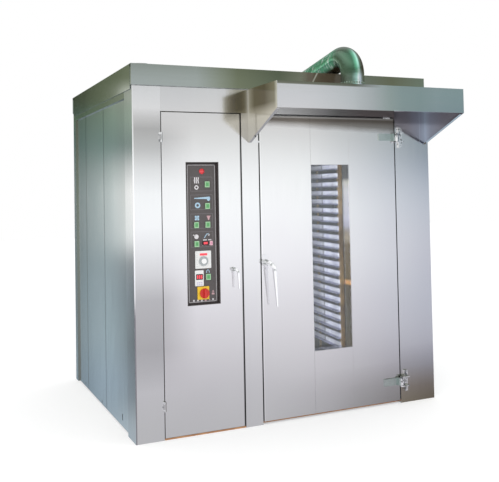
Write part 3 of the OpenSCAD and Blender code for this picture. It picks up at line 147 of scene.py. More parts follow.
LEFT_DOORWAY = [
    (-1.0, (0.50, 0.54, 0.56)), (-0.29, (0.50, 0.54, 0.56)), (-0.26, (0.14, 0.14, 0.13)),
    (-0.20, (0.06, 0.05, 0.04)), (-0.13, (0.08, 0.08, 0.09)), (-0.09, (0.22, 0.22, 0.23)),
    (-0.06, (1.03, 1.04, 1.02)), (0.0, (1.25, 1.23, 1.20)), (0.03, (0.80, 0.80, 0.79)),
    (0.06, (0.18, 0.22, 0.21)), (0.11, (0.48, 0.58, 0.48)), (0.13, (0.72, 0.76, 0.68)),
    (0.145, (0.18, 0.21, 0.14)), (0.30, (0.12, 0.13, 0.08)), (0.50, (0.45, 0.50, 0.48)),
    (0.70, (0.90, 0.93, 0.93)), (1.0, (0.75, 0.77, 0.78)),
]
# how bright the left wall is, by the X part of the mirrored ray: darker towards the rear
LEFT_WALL_FADE = [
    (-1.0, 1.0), (-0.235, 1.0), (-0.22, 0.93), (-0.21, 0.74), (-0.20, 0.34), (-0.19, 0.28),
    (-0.15, 0.32), (0.0, 0.85), (1.0, 1.0),
]
WORLD_STRENGTH = 1.3


def height_ramp(tree, height, stops):
    """Colours by the sine of the elevation; height is that sine, moved into 0 to 1."""
    node = ramp(tree, [((sine + 1) / 2, tuple(v / WORLD_STRENGTH for v in colour)) for sine, colour in stops])
    tree.links.new(height, node.inputs[0])
    return node.outputs[0]


def blend_colours(tree, factor, first, second, mode="MIX"):
    """Each input is a number, a colour or a socket."""
    mix = tree.nodes.new("ShaderNodeMix")
    mix.data_type = "RGBA"
    mix.blend_type = mode
    for socket, value in (("Factor", factor), ("A", first), ("B", second)):
        if isinstance(value, tuple):
            mix.inputs[socket].default_value = (*value, 1)
        elif isinstance(value, float):
            mix.inputs[socket].default_value = value
        else:
            tree.links.new(value, mix.inputs[socket])
    return mix.outputs["Result"]


def between(tree, value, low, high):
    """0 at low, 1 at high."""
    node = tree.nodes.new("ShaderNodeMapRange")
    tree.links.new(value, node.inputs["Value"])
    node.inputs["From Min"].default_value = low
    node.inputs["From Max"].default_value = high
    return node.outputs[0]


def make_world():
    """White to the eye; the steel mirrors a bright hall with a dark ceiling, greener to the left."""
    world = bpy.data.worlds.new("studio")
    bpy.context.scene.world = world
    world.use_nodes = True
    tree = world.node_tree
    tree.nodes.clear()
    link = tree.links.new
    coordinates = tree.nodes.new("ShaderNodeTexCoord")
    split = tree.nodes.new("ShaderNodeSeparateXYZ")
    link(coordinates.outputs["Generated"], split.inputs[0])
    height = math_node(tree, "MULTIPLY_ADD", split.outputs["Z"], 0.5, 0.5)
    east = split.outputs["X"]
    front = blend_colours(tree, between(tree, east, 0.48, 0.62), height_ramp(tree, height, FRONT_HALL),
                          height_ramp(tree, height, RIGHT_HALL))
    fade = ramp(tree, [((x + 1) / 2, level) for x, level in LEFT_WALL_FADE])
    link(math_node(tree, "MULTIPLY_ADD", east, 0.5, 0.5), fade.inputs[0])
    wall = blend_colours(tree, 1.0, height_ramp(tree, height, LEFT_WALL), fade.outputs[0], "MULTIPLY")
    doorway = height_ramp(tree, height, LEFT_DOORWAY)
    side = blend_colours(tree, between(tree, east, -0.246, -0.254), wall, doorway)
    both = blend_colours(tree, between(tree, split.outputs["Y"], 0.2, -0.2), side, front)
    mirrored = tree.nodes.new("ShaderNodeBackground")
    mirrored.inputs["Strength"].default_value = WORLD_STRENGTH
    link(both, mirrored.inputs["Color"])
    plain = tree.nodes.new("ShaderNodeBackground")
    plain.inputs["Color"].default_value = (1, 1, 1, 1)
    path = tree.nodes.new("ShaderNodeLightPath")
    chosen = tree.nodes.new("ShaderNodeMixShader")
    # camera rays and diffuse light see plain white, glossy rays the hall
    link(path.outputs["Is Glossy Ray"], chosen.inputs["Fac"])
    link(plain.outputs[0], chosen.inputs[1])
    link(mirrored.outputs[0], chosen.inputs[2])
    out = tree.nodes.new("ShaderNodeOutputWorld")
    link(chosen.outputs[0], out.inputs["Surface"])


def area_light(name, at, target, size, power, colour=(1, 1, 1)):
    """A rectangle of light that the steel doesn't mirror."""
    data = bpy.data.lights.new(name, "AREA")
    data.shape = "RECTANGLE"
    data.size, data.size_y = size
    data.energy = power
    data.color = colour
    obj = bpy.data.objects.new(name, data)
    way = Vector(target) - Vector(at)
    obj.matrix_world = Matrix.Translation(Vector(at)) @ way.to_track_quat("-Z", "Y").to_matrix().to_4x4()
    bpy.context.scene.collection.objects.link(obj)
    obj.visible_glossy = False


def lamp_light(name, at, power, radius, colour):
    """A small lamp that lights what is around it and isn't seen itself."""
    data = bpy.data.lights.new(name, "POINT")
    data.energy = power
    data.shadow_soft_size = radius
    data.color = colour
    obj = bpy.data.objects.new(name, data)
    obj.location = at
    bpy.context.scene.collection.objects.link(obj)
    obj.visible_camera = obj.visible_glossy = obj.visible_transmission = False


make_floor()
make_world()
area_light("key", (-3.5, -5.0, 4.5), (0, 0, 1.0), (3.0, 3.0), 60)
area_light("fill", (4.5, -4.0, 3.5), (0, 0, 1.0), (3.0, 3.0), 30)

# ---- materials ----

# places that the colours follow
PANEL_LOW, PANEL_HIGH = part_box("control_panel")
PLATE_Y = PANEL_HIGH.y - 0.003
HINGE_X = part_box("door_hinge_leaves")[1].x - 0.01
POST_CORNER_X = (-1.0915, -1.0935)
SERVICE_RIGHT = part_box("service_door")[1].x
DOOR_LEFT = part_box("main_door_skins")[0].x
PANEL_SEAMS_Y = (-0.72, -0.10, 0.485)
SEAM_SHADE_W = 0.02
FIRST_RAIL_Z, RAIL_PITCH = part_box("rack_rails")[0].z, 0.065
DUCT_X, DUCT_Y, DUCT_R = 0.350, -1.095, 0.073
DUCT_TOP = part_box("exhaust_duct")[1].z


class Paint:
    """A material under construction: a Principled shader and the nodes that feed it.

    Stops along an axis are (metres, colour or grey). A factor, such as facing() or zone() gives,
    is 1 where something holds and 0 elsewhere."""

    def __init__(self, name, colour, metallic=0.0, roughness=0.5, **sockets):
        self.mat = bpy.data.materials.new(name)
        self.mat.use_nodes = True
        self.tree = self.mat.node_tree
        self.shader = self.tree.nodes["Principled BSDF"]
        self.colour = colour
        self.shader.inputs["Base Color"].default_value = (*colour, 1)
        self.shader.inputs["Metallic"].default_value = metallic
        self.shader.inputs["Roughness"].default_value = roughness
        for socket, value in sockets.items():
            self.shader.inputs[socket.replace("_", " ")].default_value = value
        self.place = self.tree.nodes.new("ShaderNodeTexCoord").outputs["Object"]

    def noise(self, scale, stretch=(1, 1, 1), detail=2.0, rough=0.5):
        turn = self.tree.nodes.new("ShaderNodeMapping")
        turn.inputs["Scale"].default_value = stretch
        self.tree.links.new(self.place, turn.inputs["Vector"])
        node = self.tree.nodes.new("ShaderNodeTexNoise")
        node.inputs["Scale"].default_value = scale
        node.inputs["Detail"].default_value = detail
        node.inputs["Roughness"].default_value = rough
        self.tree.links.new(turn.outputs[0], node.inputs["Vector"])
        return node.outputs["Fac"]

    def part_of(self, vector, letter):
        split = self.tree.nodes.new("ShaderNodeSeparateXYZ")
        self.tree.links.new(vector, split.inputs[0])
        return split.outputs[letter]

    def axis(self, letter):
        return self.part_of(self.place, letter)

    def spread(self, value, low, high, new_low=0.0, new_high=1.0):
        node = self.tree.nodes.new("ShaderNodeMapRange")
        self.tree.links.new(value, node.inputs["Value"])
        sockets = ("From Min", "From Max", "To Min", "To Max")
        for socket, number in zip(sockets, (low, high, new_low, new_high)):
            node.inputs[socket].default_value = number
        return node.outputs[0]

    def both(self, first, second):
        return math_node(self.tree, "MULTIPLY", first, second)

    def zone(self, letter, outside, inside, where=None):
        """A factor that rises from 0 at one place along an axis to 1 at another."""
        edge = self.spread(self.axis(letter), outside, inside)
        return edge if where is None else self.both(where, edge)

    def facing(self, letter, sign):
        """A factor for the faces that look along an axis."""
        normal = self.tree.nodes.new("ShaderNodeTexCoord").outputs["Normal"]
        return self.spread(self.part_of(normal, letter), sign * 0.5, sign * 0.8)

    def ramp_along(self, letter, stops):
        low, high = stops[0][0], stops[-1][0]
        node = ramp(self.tree, [((at - low) / (high - low), colour) for at, colour in stops])
        self.tree.links.new(self.spread(self.axis(letter), low, high), node.inputs[0])
        return node.outputs[0]

    def blend(self, factor, colour, mode="MIX"):
        """Mixes the colour so far with another, plain or from a socket."""
        base = self.shader.inputs["Base Color"]
        so_far = base.links[0].from_socket if base.is_linked else self.colour
        self.tree.links.new(blend_colours(self.tree, factor, so_far, colour, mode), base)

    def mottle(self, value, other, low=0.3, high=0.7):
        """Mixes in another colour by a value such as a noise."""
        self.blend(self.spread(value, low, high), other)

    def tint(self, where, letter, stops):
        """Puts colours that run along an axis in place of the colour so far."""
        self.blend(where, self.ramp_along(letter, stops))

    def shade(self, letter, stops, where=1.0):
        """Multiplies the colour so far by colours that run along an axis."""
        self.blend(where, self.ramp_along(letter, stops), "MULTIPLY")

    def drive(self, socket, where, outside, inside):
        """Gives a shader input one value where the factor is 0 and another where it is 1."""
        self.tree.links.new(self.spread(where, 0.0, 1.0, outside, inside), self.shader.inputs[socket])

    def lit(self, colour, strength):
        self.shader.inputs["Emission Color"].default_value = (*colour, 1)
        self.shader.inputs["Emission Strength"].default_value = strength

    def rough(self, value, low, high):
        self.tree.links.new(self.spread(value, 0.3, 0.7, low, high), self.shader.inputs["Roughness"])

    def bump(self, value, distance):
        node = self.tree.nodes.new("ShaderNodeBump")
        node.inputs["Distance"].default_value = distance
        node.inputs["Strength"].default_value = 1.0
        self.tree.links.new(value, node.inputs["Height"])
        normal = self.shader.inputs["Normal"]
        if normal.is_linked:
            self.tree.links.new(normal.links[0].from_socket, node.inputs["Normal"])
        self.tree.links.new(node.outputs[0], normal)


# grain stretched along one axis: many lines across it, long lines along it
GRAIN_UPRIGHT = (260, 260, 3)
GRAIN_LEVEL = (3, 260, 260)


def brushed(name, colour, shade, grain, roughness=0.12):
    """Brushed stainless: very fine grain, a slight waviness of the sheet and faint cloudy tint."""
    paint = Paint(name, colour, 1.0, roughness)
    lines = paint.noise(1.0, grain, 3.0)
    paint.mottle(paint.noise(1.6, detail=3.0), shade)
    paint.rough(lines, roughness - 0.02, roughness + 0.03)
    paint.bump(paint.noise(1.7, (1, 1, 0.6), 1.0), 0.0006)
    paint.bump(lines, 0.000004)
    return paint


def casing_steel(name="casing_steel", level=0.84):
    return brushed(name, (level, level, level), (level - 0.03, level - 0.03, level - 0.02), GRAIN_UPRIGHT)


def side_steel(name="side_steel"):
    return brushed(name, (0.84, 0.84, 0.84), (0.79, 0.82, 0.82), GRAIN_UPRIGHT)


def post_steel():
    """Painted shade along the post, for the darker end of the hall it mirrors; a painted highlight up its
    corner.
    """
    paint = casing_steel("post_steel", 0.96)
    front = paint.facing("Y", -1)
    paint.shade("Z", [(0.0, 0.78), (0.6, 0.78), (0.9, 1.0), (1.7, 0.95), (1.95, 0.85), (2.06, 0.70),
                      (2.17, 0.72)], paint.facing("X", -1))
    paint.shade("Z", [(0.0, 0.88), (0.30, 0.86), (0.42, 0.70), (0.55, 0.57), (0.85, 0.56), (1.0, 0.70),
                      (1.15, 0.80), (1.30, 0.88), (1.50, 0.87), (1.65, 0.76), (1.78, 0.60), (1.90, 0.55),
                      (1.97, 0.76), (2.03, 1.0), (2.17, 1.0)], front)
    # painted highlight up the front corner, painted dark near the floor
    corner = paint.zone("X", *POST_CORNER_X, front)
    paint.tint(corner, "Z", [(0.0, (0.40, 0.39, 0.41)), (0.75, (0.30, 0.29, 0.31)), (0.88, 0.9),
                             (1.0, 1.0), (2.17, 1.0)])
    return paint.mat


def jamb_steel():
    paint = casing_steel("jamb_steel")
    # painted shade: darker and browner towards the floor, a little lighter just under the header
    paint.shade("Z", [(0.0, (0.64, 0.58, 0.46)), (0.10, (0.68, 0.62, 0.54)), (0.25, 0.85), (0.4, 1.0),
                      (1.5, 1.0), (1.9, 0.98), (1.95, 1.05), (2.0, 1.05)], paint.facing("Y", -1))
    return paint.mat


def header_steel():
    """Painted reflection of the canopy's cheek, painted shade to the right; dulled there, it is lit from
    below under the canopy.
    """
    paint = casing_steel("header_steel", 0.86)
    front = paint.facing("Y", -1)
    # painted reflection of the cheek, and painted shade to the right
    paint.shade("X", [(-0.92, 1.0), (-0.49, 1.0), (-0.45, (0.75, 0.73, 0.66)), (-0.40, (0.52, 0.50, 0.40)),
                      (-0.35, (0.55, 0.52, 0.42)), (-0.32, 1.0), (-0.1, 0.9), (0.15, 0.5), (0.35, 0.22),
                      (0.55, (0.16, 0.14, 0.14)), (1.1, (0.15, 0.13, 0.14))], front)
    paint.drive("Metallic", paint.zone("X", -0.33, -0.32, front), 1.0, 0.15)
    return paint.mat


def door_steel():
    """Under the canopy the sheet is dulled and painted with the canopy's shadow and reflection, with a wavy
    lower edge.
    """
    paint = brushed("door_steel", (0.84, 0.84, 0.84), (0.82, 0.81, 0.82), GRAIN_UPRIGHT)
    front = paint.facing("Y", -1)
    lift = math_node(paint.tree, "MULTIPLY_ADD", paint.axis("X"), 0.045, paint.axis("Z"))
    wavy = math_node(paint.tree, "MULTIPLY_ADD", paint.noise(7.0, (1, 0, 0), 1.0), 0.02, lift)
    # painted shadow and reflection of the canopy, darker to the right
    band = paint.both(front, paint.spread(wavy, 1.93, 1.975))
    paint.tint(band, "Z", [(1.90, 0.60), (1.95, (0.42, 0.40, 0.37)), (1.975, (0.27, 0.24, 0.21)),
                           (1.987, (0.30, 0.27, 0.24)), (1.992, (0.60, 0.58, 0.55)),
                           (2.02, (0.60, 0.58, 0.55))])
    paint.shade("X", [(-0.30, 1.0), (0.05, 0.95), (0.30, 0.62), (0.55, 0.52), (0.82, 0.48)], band)
    paint.drive("Metallic", band, 1.0, 0.2)
    # painted shade towards the floor
    paint.shade("Z", [(0.0, 0.72), (0.14, 0.82), (0.3, 1.0), (2.0, 1.0)], paint.zone("X", -0.35, 0.5, front))
    # a painted highlight along the left edge
    paint.shade("X", [(-0.30, 0.3), (DOOR_LEFT, 0.3), (DOOR_LEFT + 0.002, 1.15), (DOOR_LEFT + 0.008, 1.15),
                      (DOOR_LEFT + 0.010, 1.0), (0.9, 1.0)], front)
    return paint.mat


def trim_steel():
    """Window trim: its right side carries a painted reflection of the oven's inside, with a lamp's glow."""
    paint = Paint("trim_steel", (0.84, 0.84, 0.85), 1.0, 0.15)
    paint.rough(paint.noise(80), 0.12, 0.2)
    right = paint.zone("X", 0.30, 0.35, paint.facing("X", -1))
    inside = paint.ramp_along("Z", [
        (0.40, (0.16, 0.14, 0.11)), (0.60, (0.12, 0.11, 0.08)), (0.845, (0.14, 0.11, 0.07)),
        (0.855, (0.85, 0.42, 0.14)), (0.875, (0.85, 0.42, 0.14)), (0.888, (0.18, 0.13, 0.06)),
        (1.12, (0.22, 0.17, 0.10)), (1.17, (0.50, 0.42, 0.32)), (1.21, (0.40, 0.34, 0.28)),
        (1.25, (0.62, 0.60, 0.70)), (1.30, (0.80, 0.78, 0.92)), (1.50, (0.92, 0.90, 0.94)),
        (1.56, (0.80, 0.78, 0.72)), (1.585, 0.16), (1.70, 0.13)])
    paint.blend(right, inside)
    # painted glow: the painted reflection also glows as emission
    paint.tree.links.new(inside, paint.shader.inputs["Emission Color"])
    paint.drive("Emission Strength", right, 0.0, 0.45)
    paint.drive("Metallic", right, 1.0, 0.2)
    return paint.mat


def mullion_steel():
    """The side towards the service door is painted dark: painted shade of the gap."""
    paint = casing_steel("mullion_steel")
    paint.tint(paint.facing("X", -1), "Z", [(0.0, (0.10, 0.10, 0.11)), (2.0, (0.14, 0.14, 0.15))])
    return paint.mat


def service_steel():
    """Painted shade, darker towards the left post, and a dark line of painted shade along the right edge."""
    paint = brushed("service_steel", (0.84, 0.84, 0.84), (0.82, 0.81, 0.82), GRAIN_UPRIGHT)
    front = paint.facing("Y", -1)
    paint.shade("Z", [(0.30, 1.0), (0.45, 0.9), (0.55, 0.78), (0.85, 0.73), (1.05, 0.9), (1.30, 1.0),
                      (1.55, 1.0), (1.70, 0.87), (1.85, 0.77), (1.95, 0.95), (2.0, 1.0)],
                paint.zone("X", -0.70, -0.90, front))
    # painted shade of the gap along the right edge
    paint.shade("X", [(-1.0, 1.0), (SERVICE_RIGHT - 0.0075, 1.0), (SERVICE_RIGHT - 0.0065, 0.12),
                      (-0.3, 0.12)], front)
    return paint.mat


def panel_steel():
    """Side panels, darker beside their seams, with painted shade high on their front end, under the fascia.
    """
    paint = side_steel("panel_steel")
    side = paint.facing("X", -1)
    stops = [(-0.9, 1.0)]
    for seam in PANEL_SEAMS_Y:
        stops += [(seam - SEAM_SHADE_W, 1.0), (seam, 0.62), (seam + SEAM_SHADE_W, 1.0)]
    paint.shade("Y", stops + [(0.9, 1.0)], side)
    # painted shade under the fascia
    paint.shade("Z", [(0.0, 1.0), (1.1, 1.0), (1.5, 0.86), (1.8, 0.92), (1.95, 0.85), (2.05, 0.72),
                      (2.2, 0.72)], paint.zone("Y", -0.40, -0.60, side))
    return paint.mat


def frame_steel():
    """Rear posts and top rails, with painted shade and reflections: dark steps towards the dark end of the
    hall, olive rail sides, lighter feet.
    """
    paint = side_steel("frame_steel")
    dark = paint.ramp_along("Z", [(0.0, (0.24, 0.27, 0.25)), (2.2, (0.14, 0.16, 0.12))])
    # painted dark on the steps and undersides
    paint.blend(paint.facing("Y", -1), dark)
    paint.blend(paint.facing("Z", -1), dark)
    side = paint.facing("X", -1)
    rail = paint.zone("Z", 2.05, 2.1, side)
    # painted olive reflection on the rail sides, darker to the front
    paint.tint(rail, "Z", [(2.0, (0.52, 0.56, 0.46)), (2.2, (0.42, 0.45, 0.34))])
    paint.shade("Y", [(-0.9, 0.62), (-0.6, 0.8), (-0.3, 0.95), (0.1, 1.2), (0.6, 1.3), (0.9, 1.7)], rail)
    # painted light near the floor, painted shade higher up
    paint.shade("Z", [(0.0, 1.55), (0.12, 1.45), (0.3, 1.0), (0.6, 0.78), (1.5, 0.80), (1.9, 1.0),
                      (2.1, 1.0)], paint.zone("Z", 2.1, 2.05, side))
    return paint.mat


# painted reflections on the front fascia from left to right: pale, then the olive of a dark ceiling
FASCIA_REFLECTIONS = [
    (-1.1, (0.52, 0.57, 0.55)), (-0.68, (0.50, 0.55, 0.52)), (-0.52, (0.36, 0.40, 0.32)),
    (-0.40, (0.24, 0.27, 0.18)), (-0.10, (0.15, 0.18, 0.12)), (0.15, (0.28, 0.29, 0.22)),
    (0.50, (0.27, 0.30, 0.24)), (0.80, (0.30, 0.29, 0.19)), (1.10, (0.48, 0.49, 0.38)),
]
# a pale line on it: a place on the line, and how far it leans in X for each metre of height
LINE_X, LINE_Z, LINE_LEAN = 0.155, 2.235, 0.57


def fascia_steel():
    """Painted reflections; beside the duct a dull, brownish painted shade, with one pale slanting line."""
    paint = brushed("fascia_steel", (0.84, 0.84, 0.84), (0.80, 0.81, 0.78), GRAIN_LEVEL, 0.07)
    front = paint.facing("Y", -1)
    paint.tint(front, "X", FASCIA_REFLECTIONS)
    dull = paint.zone("X", 0.06, 0.12, paint.zone("X", 0.46, 0.40, front))
    paint.tint(dull, "X", [(0.0, (0.11, 0.11, 0.075)), (0.16, (0.13, 0.11, 0.075)),
                           (0.28, (0.12, 0.09, 0.06)), (0.50, (0.10, 0.10, 0.065))])
    paint.drive("Metallic", dull, 1.0, 0.1)
    slant = math_node(paint.tree, "MULTIPLY_ADD", paint.axis("Z"), -LINE_LEAN, paint.axis("X"))
    off = math_node(paint.tree, "SUBTRACT", slant, LINE_X - LINE_LEAN * LINE_Z)
    line = paint.both(front, paint.spread(math_node(paint.tree, "ABSOLUTE", off), 0.008, 0.003))
    paint.tint(line, "Z", [(2.17, (0.34, 0.34, 0.28)), (2.30, (0.45, 0.45, 0.38))])
    # painted light: the side lighter towards its rear end
    paint.shade("Y", [(-0.9, 1.0), (0.45, 1.0), (0.78, 1.6), (0.9, 2.4)], paint.facing("X", -1))
    return paint.mat


def canopy_steel():
    """Painted reflections: green-grey to the right, the dark ceiling on the top fold, a darker inside to the
    right.
    """
    paint = brushed("canopy_steel", (0.84, 0.84, 0.85), (0.81, 0.82, 0.84), GRAIN_LEVEL, 0.1)
    front = paint.facing("Y", -1)
    paint.shade("X", [(-0.35, 1.0), (0.2, 1.0), (0.34, 0.9), (0.48, (0.74, 0.80, 0.76)),
                      (0.58, (0.70, 0.78, 0.76)), (0.72, (0.78, 0.84, 0.82)), (0.85, 0.97),
                      (1.1, 1.0)], front)
    # painted reflection of the dark ceiling along the top fold
    paint.shade("Z", [(1.97, 1.0), (2.148, 1.0), (2.154, (0.30, 0.31, 0.24)), (2.17, (0.22, 0.23, 0.17))],
                paint.zone("X", 0.42, 0.22, front))
    paint.tint(paint.facing("Y", 1), "X", [(-0.35, 0.8), (1.1, (0.3, 0.28, 0.28))])
    return paint.mat


def cheek_steel():
    """The cheeks: a painted reflection of a dark corner outside, painted blue-grey light inside; dulled, they
    are lit from below.
    """
    paint = brushed("cheek_steel", (0.84, 0.84, 0.85), (0.81, 0.82, 0.84), GRAIN_LEVEL, 0.1)
    side = paint.facing("X", -1)
    outside = paint.zone("X", 0.1, 0.0, side)
    paint.tint(outside, "Z", [(1.8, (0.52, 0.50, 0.45)), (2.0, (0.62, 0.58, 0.48))])
    # painted reflection of a dark corner
    paint.tint(paint.zone("Z", 1.97, 2.05, outside), "Y", [
        (-1.33, (0.60, 0.59, 0.50)), (-1.29, (0.22, 0.20, 0.13)), (-1.15, (0.11, 0.09, 0.05)),
        (-1.0, (0.14, 0.12, 0.07)), (-0.93, (0.32, 0.30, 0.22)), (-0.9, (0.5, 0.48, 0.4))])
    inside = paint.zone("X", 0.0, 0.1, side)
    # painted blue-grey light on the inside, paler to the front
    paint.tint(inside, "Y", [(-1.33, (0.30, 0.28, 0.32)), (-1.10, (0.30, 0.29, 0.35)),
                             (-0.97, (0.36, 0.39, 0.50)), (-0.9, (0.50, 0.58, 0.74))])
    paint.drive("Metallic", math_node(paint.tree, "MAXIMUM", inside, outside), 1.0, 0.25)
    return paint.mat


def lever_steel():
    """Bright chrome, with painted dark reflections on hubs and elbows and painted grey shade on the arms'
    sides.
    """
    paint = Paint("lever_steel", (0.98, 0.99, 1.0), 0.35, 0.22)
    # painted dark reflections on hubs and elbows
    dark_reflection_spots = paint.zone("Z", 0.985, 1.0, paint.spread(paint.noise(38, detail=2), 0.50, 0.58))
    paint.tint(dark_reflection_spots, "Z", [(0.9, (0.22, 0.25, 0.23)), (1.1, (0.30, 0.33, 0.31))])
    # painted shade on the arms' left sides
    arm = paint.zone("Z", 1.03, 1.0, paint.facing("X", -1))
    paint.tint(arm, "Z", [(0.7, (0.50, 0.50, 0.54)), (1.1, (0.58, 0.58, 0.60))])
    paint.bump(paint.noise(220), 0.0001)
    # painted glow: brighter on the side towards the door, in place of the light the door throws on it
    paint.shader.inputs["Emission Color"].default_value = (0.95, 0.93, 1.0, 1)
    paint.drive("Emission Strength", paint.facing("Y", 1), 0.12, 0.45)
    return paint.mat


def polished_steel():
    """Chrome with painted dark reflections in patches; the leaves on the door are dull and grey-green."""
    paint = Paint("polished_steel", (0.92, 0.92, 0.93), 0.9, 0.12)
    # painted dark reflections in patches
    paint.mottle(paint.noise(48, detail=3), (0.20, 0.21, 0.22), 0.52, 0.60)
    leaf = paint.zone("X", HINGE_X - 0.024, HINGE_X - 0.028, paint.zone("X", 0.4, 0.5))
    paint.tint(leaf, "X", [(0.60, (0.62, 0.68, 0.66)), (0.78, (0.50, 0.57, 0.55))])
    paint.rough(paint.noise(30, detail=4), 0.08, 0.2)
    paint.bump(paint.noise(60), 0.0002)
    return paint.mat


def galvanised():
    paint = Paint("galvanised", (0.55, 0.57, 0.58), 1.0, 0.4)
    paint.mottle(paint.noise(45, detail=5, rough=0.7), (0.42, 0.44, 0.45), 0.4, 0.6)
    paint.rough(paint.noise(45, detail=5), 0.32, 0.5)
    return paint.mat


def chamber_steel():
    """Stainless dulled by years of baking: blue-grey, brown on the floor and at the right front."""
    paint = Paint("chamber_steel", (0.14, 0.15, 0.21), 0.9, 0.32)
    paint.mottle(paint.noise(5, detail=5, rough=0.6), (0.09, 0.10, 0.14), 0.35, 0.7)
    corner = paint.zone("X", 0.50, 0.62, paint.zone("Y", -0.48, -0.60))
    paint.tint(corner, "Z", [(0.1, (0.28, 0.22, 0.13)), (2.1, (0.36, 0.27, 0.16))])
    paint.tint(paint.facing("Z", 1), "X", [(-0.5, (0.30, 0.27, 0.20)), (1.1, (0.24, 0.18, 0.11))])
    paint.rough(paint.noise(40, (1, 1, 0.1)), 0.26, 0.4)
    paint.bump(paint.noise(3), 0.002)
    return paint.mat


def rack_steel():
    """Rack tubes, tanned by the heat."""
    paint = Paint("rack_steel", (0.34, 0.22, 0.10), 0.8, 0.3)
    paint.mottle(paint.noise(8, detail=4), (0.14, 0.09, 0.05), 0.4, 0.65)
    paint.rough(paint.noise(120, (1, 1, 0.1)), 0.24, 0.4)
    return paint.mat


def rail_steel():
    """The rails of the rack: pale and a little lilac, with painted shade along their lower edges and front
    and back, dark at a strut.
    """
    paint = Paint("rail_steel", (0.92, 0.91, 1.0), 0.3, 0.35)
    paint.mottle(paint.noise(9, detail=4), (0.62, 0.62, 0.80), 0.45, 0.75)
    turns = math_node(paint.tree, "MULTIPLY_ADD", paint.axis("Z"), 1 / RAIL_PITCH, -FIRST_RAIL_Z / RAIL_PITCH)
    # painted shade by shares of the pitch, from the foot of each rail
    edges = ramp(paint.tree, [(0.0, (0.16, 0.17, 0.26)), (0.07, (0.24, 0.25, 0.36)), (0.15, (0.8, 0.8, 0.86)),
                              (0.22, 1.0), (0.50, 1.0), (0.60, (0.52, 0.52, 0.60))])
    paint.tree.links.new(math_node(paint.tree, "FRACT", turns), edges.inputs[0])
    paint.blend(1.0, edges.outputs[0], "MULTIPLY")
    # painted shade: darker towards the front and the back of the rack
    paint.shade("Y", [(-0.62, 0.5), (-0.48, 0.58), (-0.42, 0.82), (-0.38, 1.0), (-0.302, 1.0), (-0.296, 0.3),
                      (-0.286, 0.3), (-0.280, 0.84), (-0.15, 0.76), (0.5, 0.7)])
    paint.rough(paint.noise(120, (1, 0.1, 1)), 0.28, 0.42)
    paint.bump(paint.noise(160, (1, 0.2, 1)), 0.0002)
    return paint.mat


def duct_metal():
    """Shiny green-coated sheet with painted highlights on its creases; the riser greyer, with one painted
    bright streak.
    """

    def across(*stops):
        """Stops across the riser, from its axis."""
        return [(DUCT_X + at, colour) for at, colour in stops]

    paint = Paint("duct_metal", (0.22, 0.66, 0.40), 0.65, 0.16)
    paint.mottle(paint.noise(9, detail=3), (0.14, 0.46, 0.27), 0.4, 0.7)
    # painted highlights in streaks
    paint.mottle(paint.noise(26, (0.6, 2.6, 0.8), 4), (0.80, 1.0, 0.90), 0.54, 0.62)
    # painted highlight and shade across the elbow and the riser
    elbow = paint.zone("Y", DUCT_Y + 0.16, DUCT_Y + 0.08)
    paint.tint(elbow, "X", across(
        (-0.08, (0.16, 0.26, 0.18)), (-0.03, (0.07, 0.18, 0.11)), (-0.012, (0.16, 0.50, 0.32)),
        (0.004, (0.50, 0.92, 0.78)), (0.014, (0.14, 0.24, 0.18)), (0.030, (0.10, 0.09, 0.065)),
        (0.08, (0.07, 0.06, 0.045))))
    crown = paint.zone("Z", DUCT_TOP - 0.07, DUCT_TOP - 0.02, elbow)
    paint.tint(crown, "X", across((-0.08, (0.12, 0.16, 0.11)), (0.0, (0.08, 0.10, 0.07)),
                                  (0.08, (0.08, 0.07, 0.05))))
    riser = paint.zone("Z", 2.30, 2.24, elbow)
    paint.tint(riser, "X", across(
        (-0.08, (0.15, 0.18, 0.14)), (-0.045, (0.12, 0.19, 0.14)), (-0.015, (0.40, 0.66, 0.60)),
        (0.0, (0.95, 1.0, 1.0)), (0.012, (0.85, 0.88, 1.0)), (0.03, (0.24, 0.27, 0.22)),
        (0.08, (0.14, 0.13, 0.10))))
    # painted shade on the underside
    paint.tint(paint.facing("Z", -1), "Y", [(-1.2, (0.06, 0.05, 0.03)), (0.0, (0.07, 0.05, 0.03))])
    paint.bump(paint.noise(14, detail=3), 0.003)
    return paint.mat


def crimp_metal():
    paint = Paint("crimp", (0.80, 0.92, 0.86), 0.9, 0.2)
    paint.mottle(paint.noise(60, detail=4), (0.45, 0.6, 0.5), 0.4, 0.6)
    return paint.mat


def copper_primer():
    paint = Paint("copper_primer", (0.62, 0.33, 0.16), 0.3, 0.5)
    paint.mottle(paint.noise(25, detail=5), (0.42, 0.2, 0.1))
    return paint.mat


def hot_steel():
    paint = Paint("hot_steel", (0.16, 0.14, 0.13), 0.9, 0.55)
    paint.mottle(paint.noise(12, detail=6), (0.24, 0.15, 0.1))
    paint.bump(paint.noise(150), 0.0005)
    return paint.mat


def wool():
    paint = Paint("wool", (0.55, 0.5, 0.3), 0.0, 1.0)
    paint.mottle(paint.noise(60, detail=8), (0.42, 0.36, 0.2))
    paint.bump(paint.noise(200, (1, 1, 0.2), 6), 0.004)
    return paint.mat


def enamel(name, colour, shade):
    paint = Paint(name, colour, 0.0, 0.35)
    paint.mottle(paint.noise(20, detail=4), shade)
    paint.bump(paint.noise(320), 0.0003)
    return paint.mat


def plastic(name, colour, shade, roughness=0.3, **sockets):
    paint = Paint(name, colour, 0.0, roughness, **sockets)
    paint.mottle(paint.noise(90, detail=4), shade)
    paint.bump(paint.noise(900), 0.00008)
    return paint.mat


def window_glass():
    paint = Paint("window_glass", (0.93, 0.96, 0.95), 0.0, 0.03, Transmission_Weight=1.0, IOR=1.45)
    paint.rough(paint.noise(6, detail=4), 0.0, 0.04)
    return paint.mat


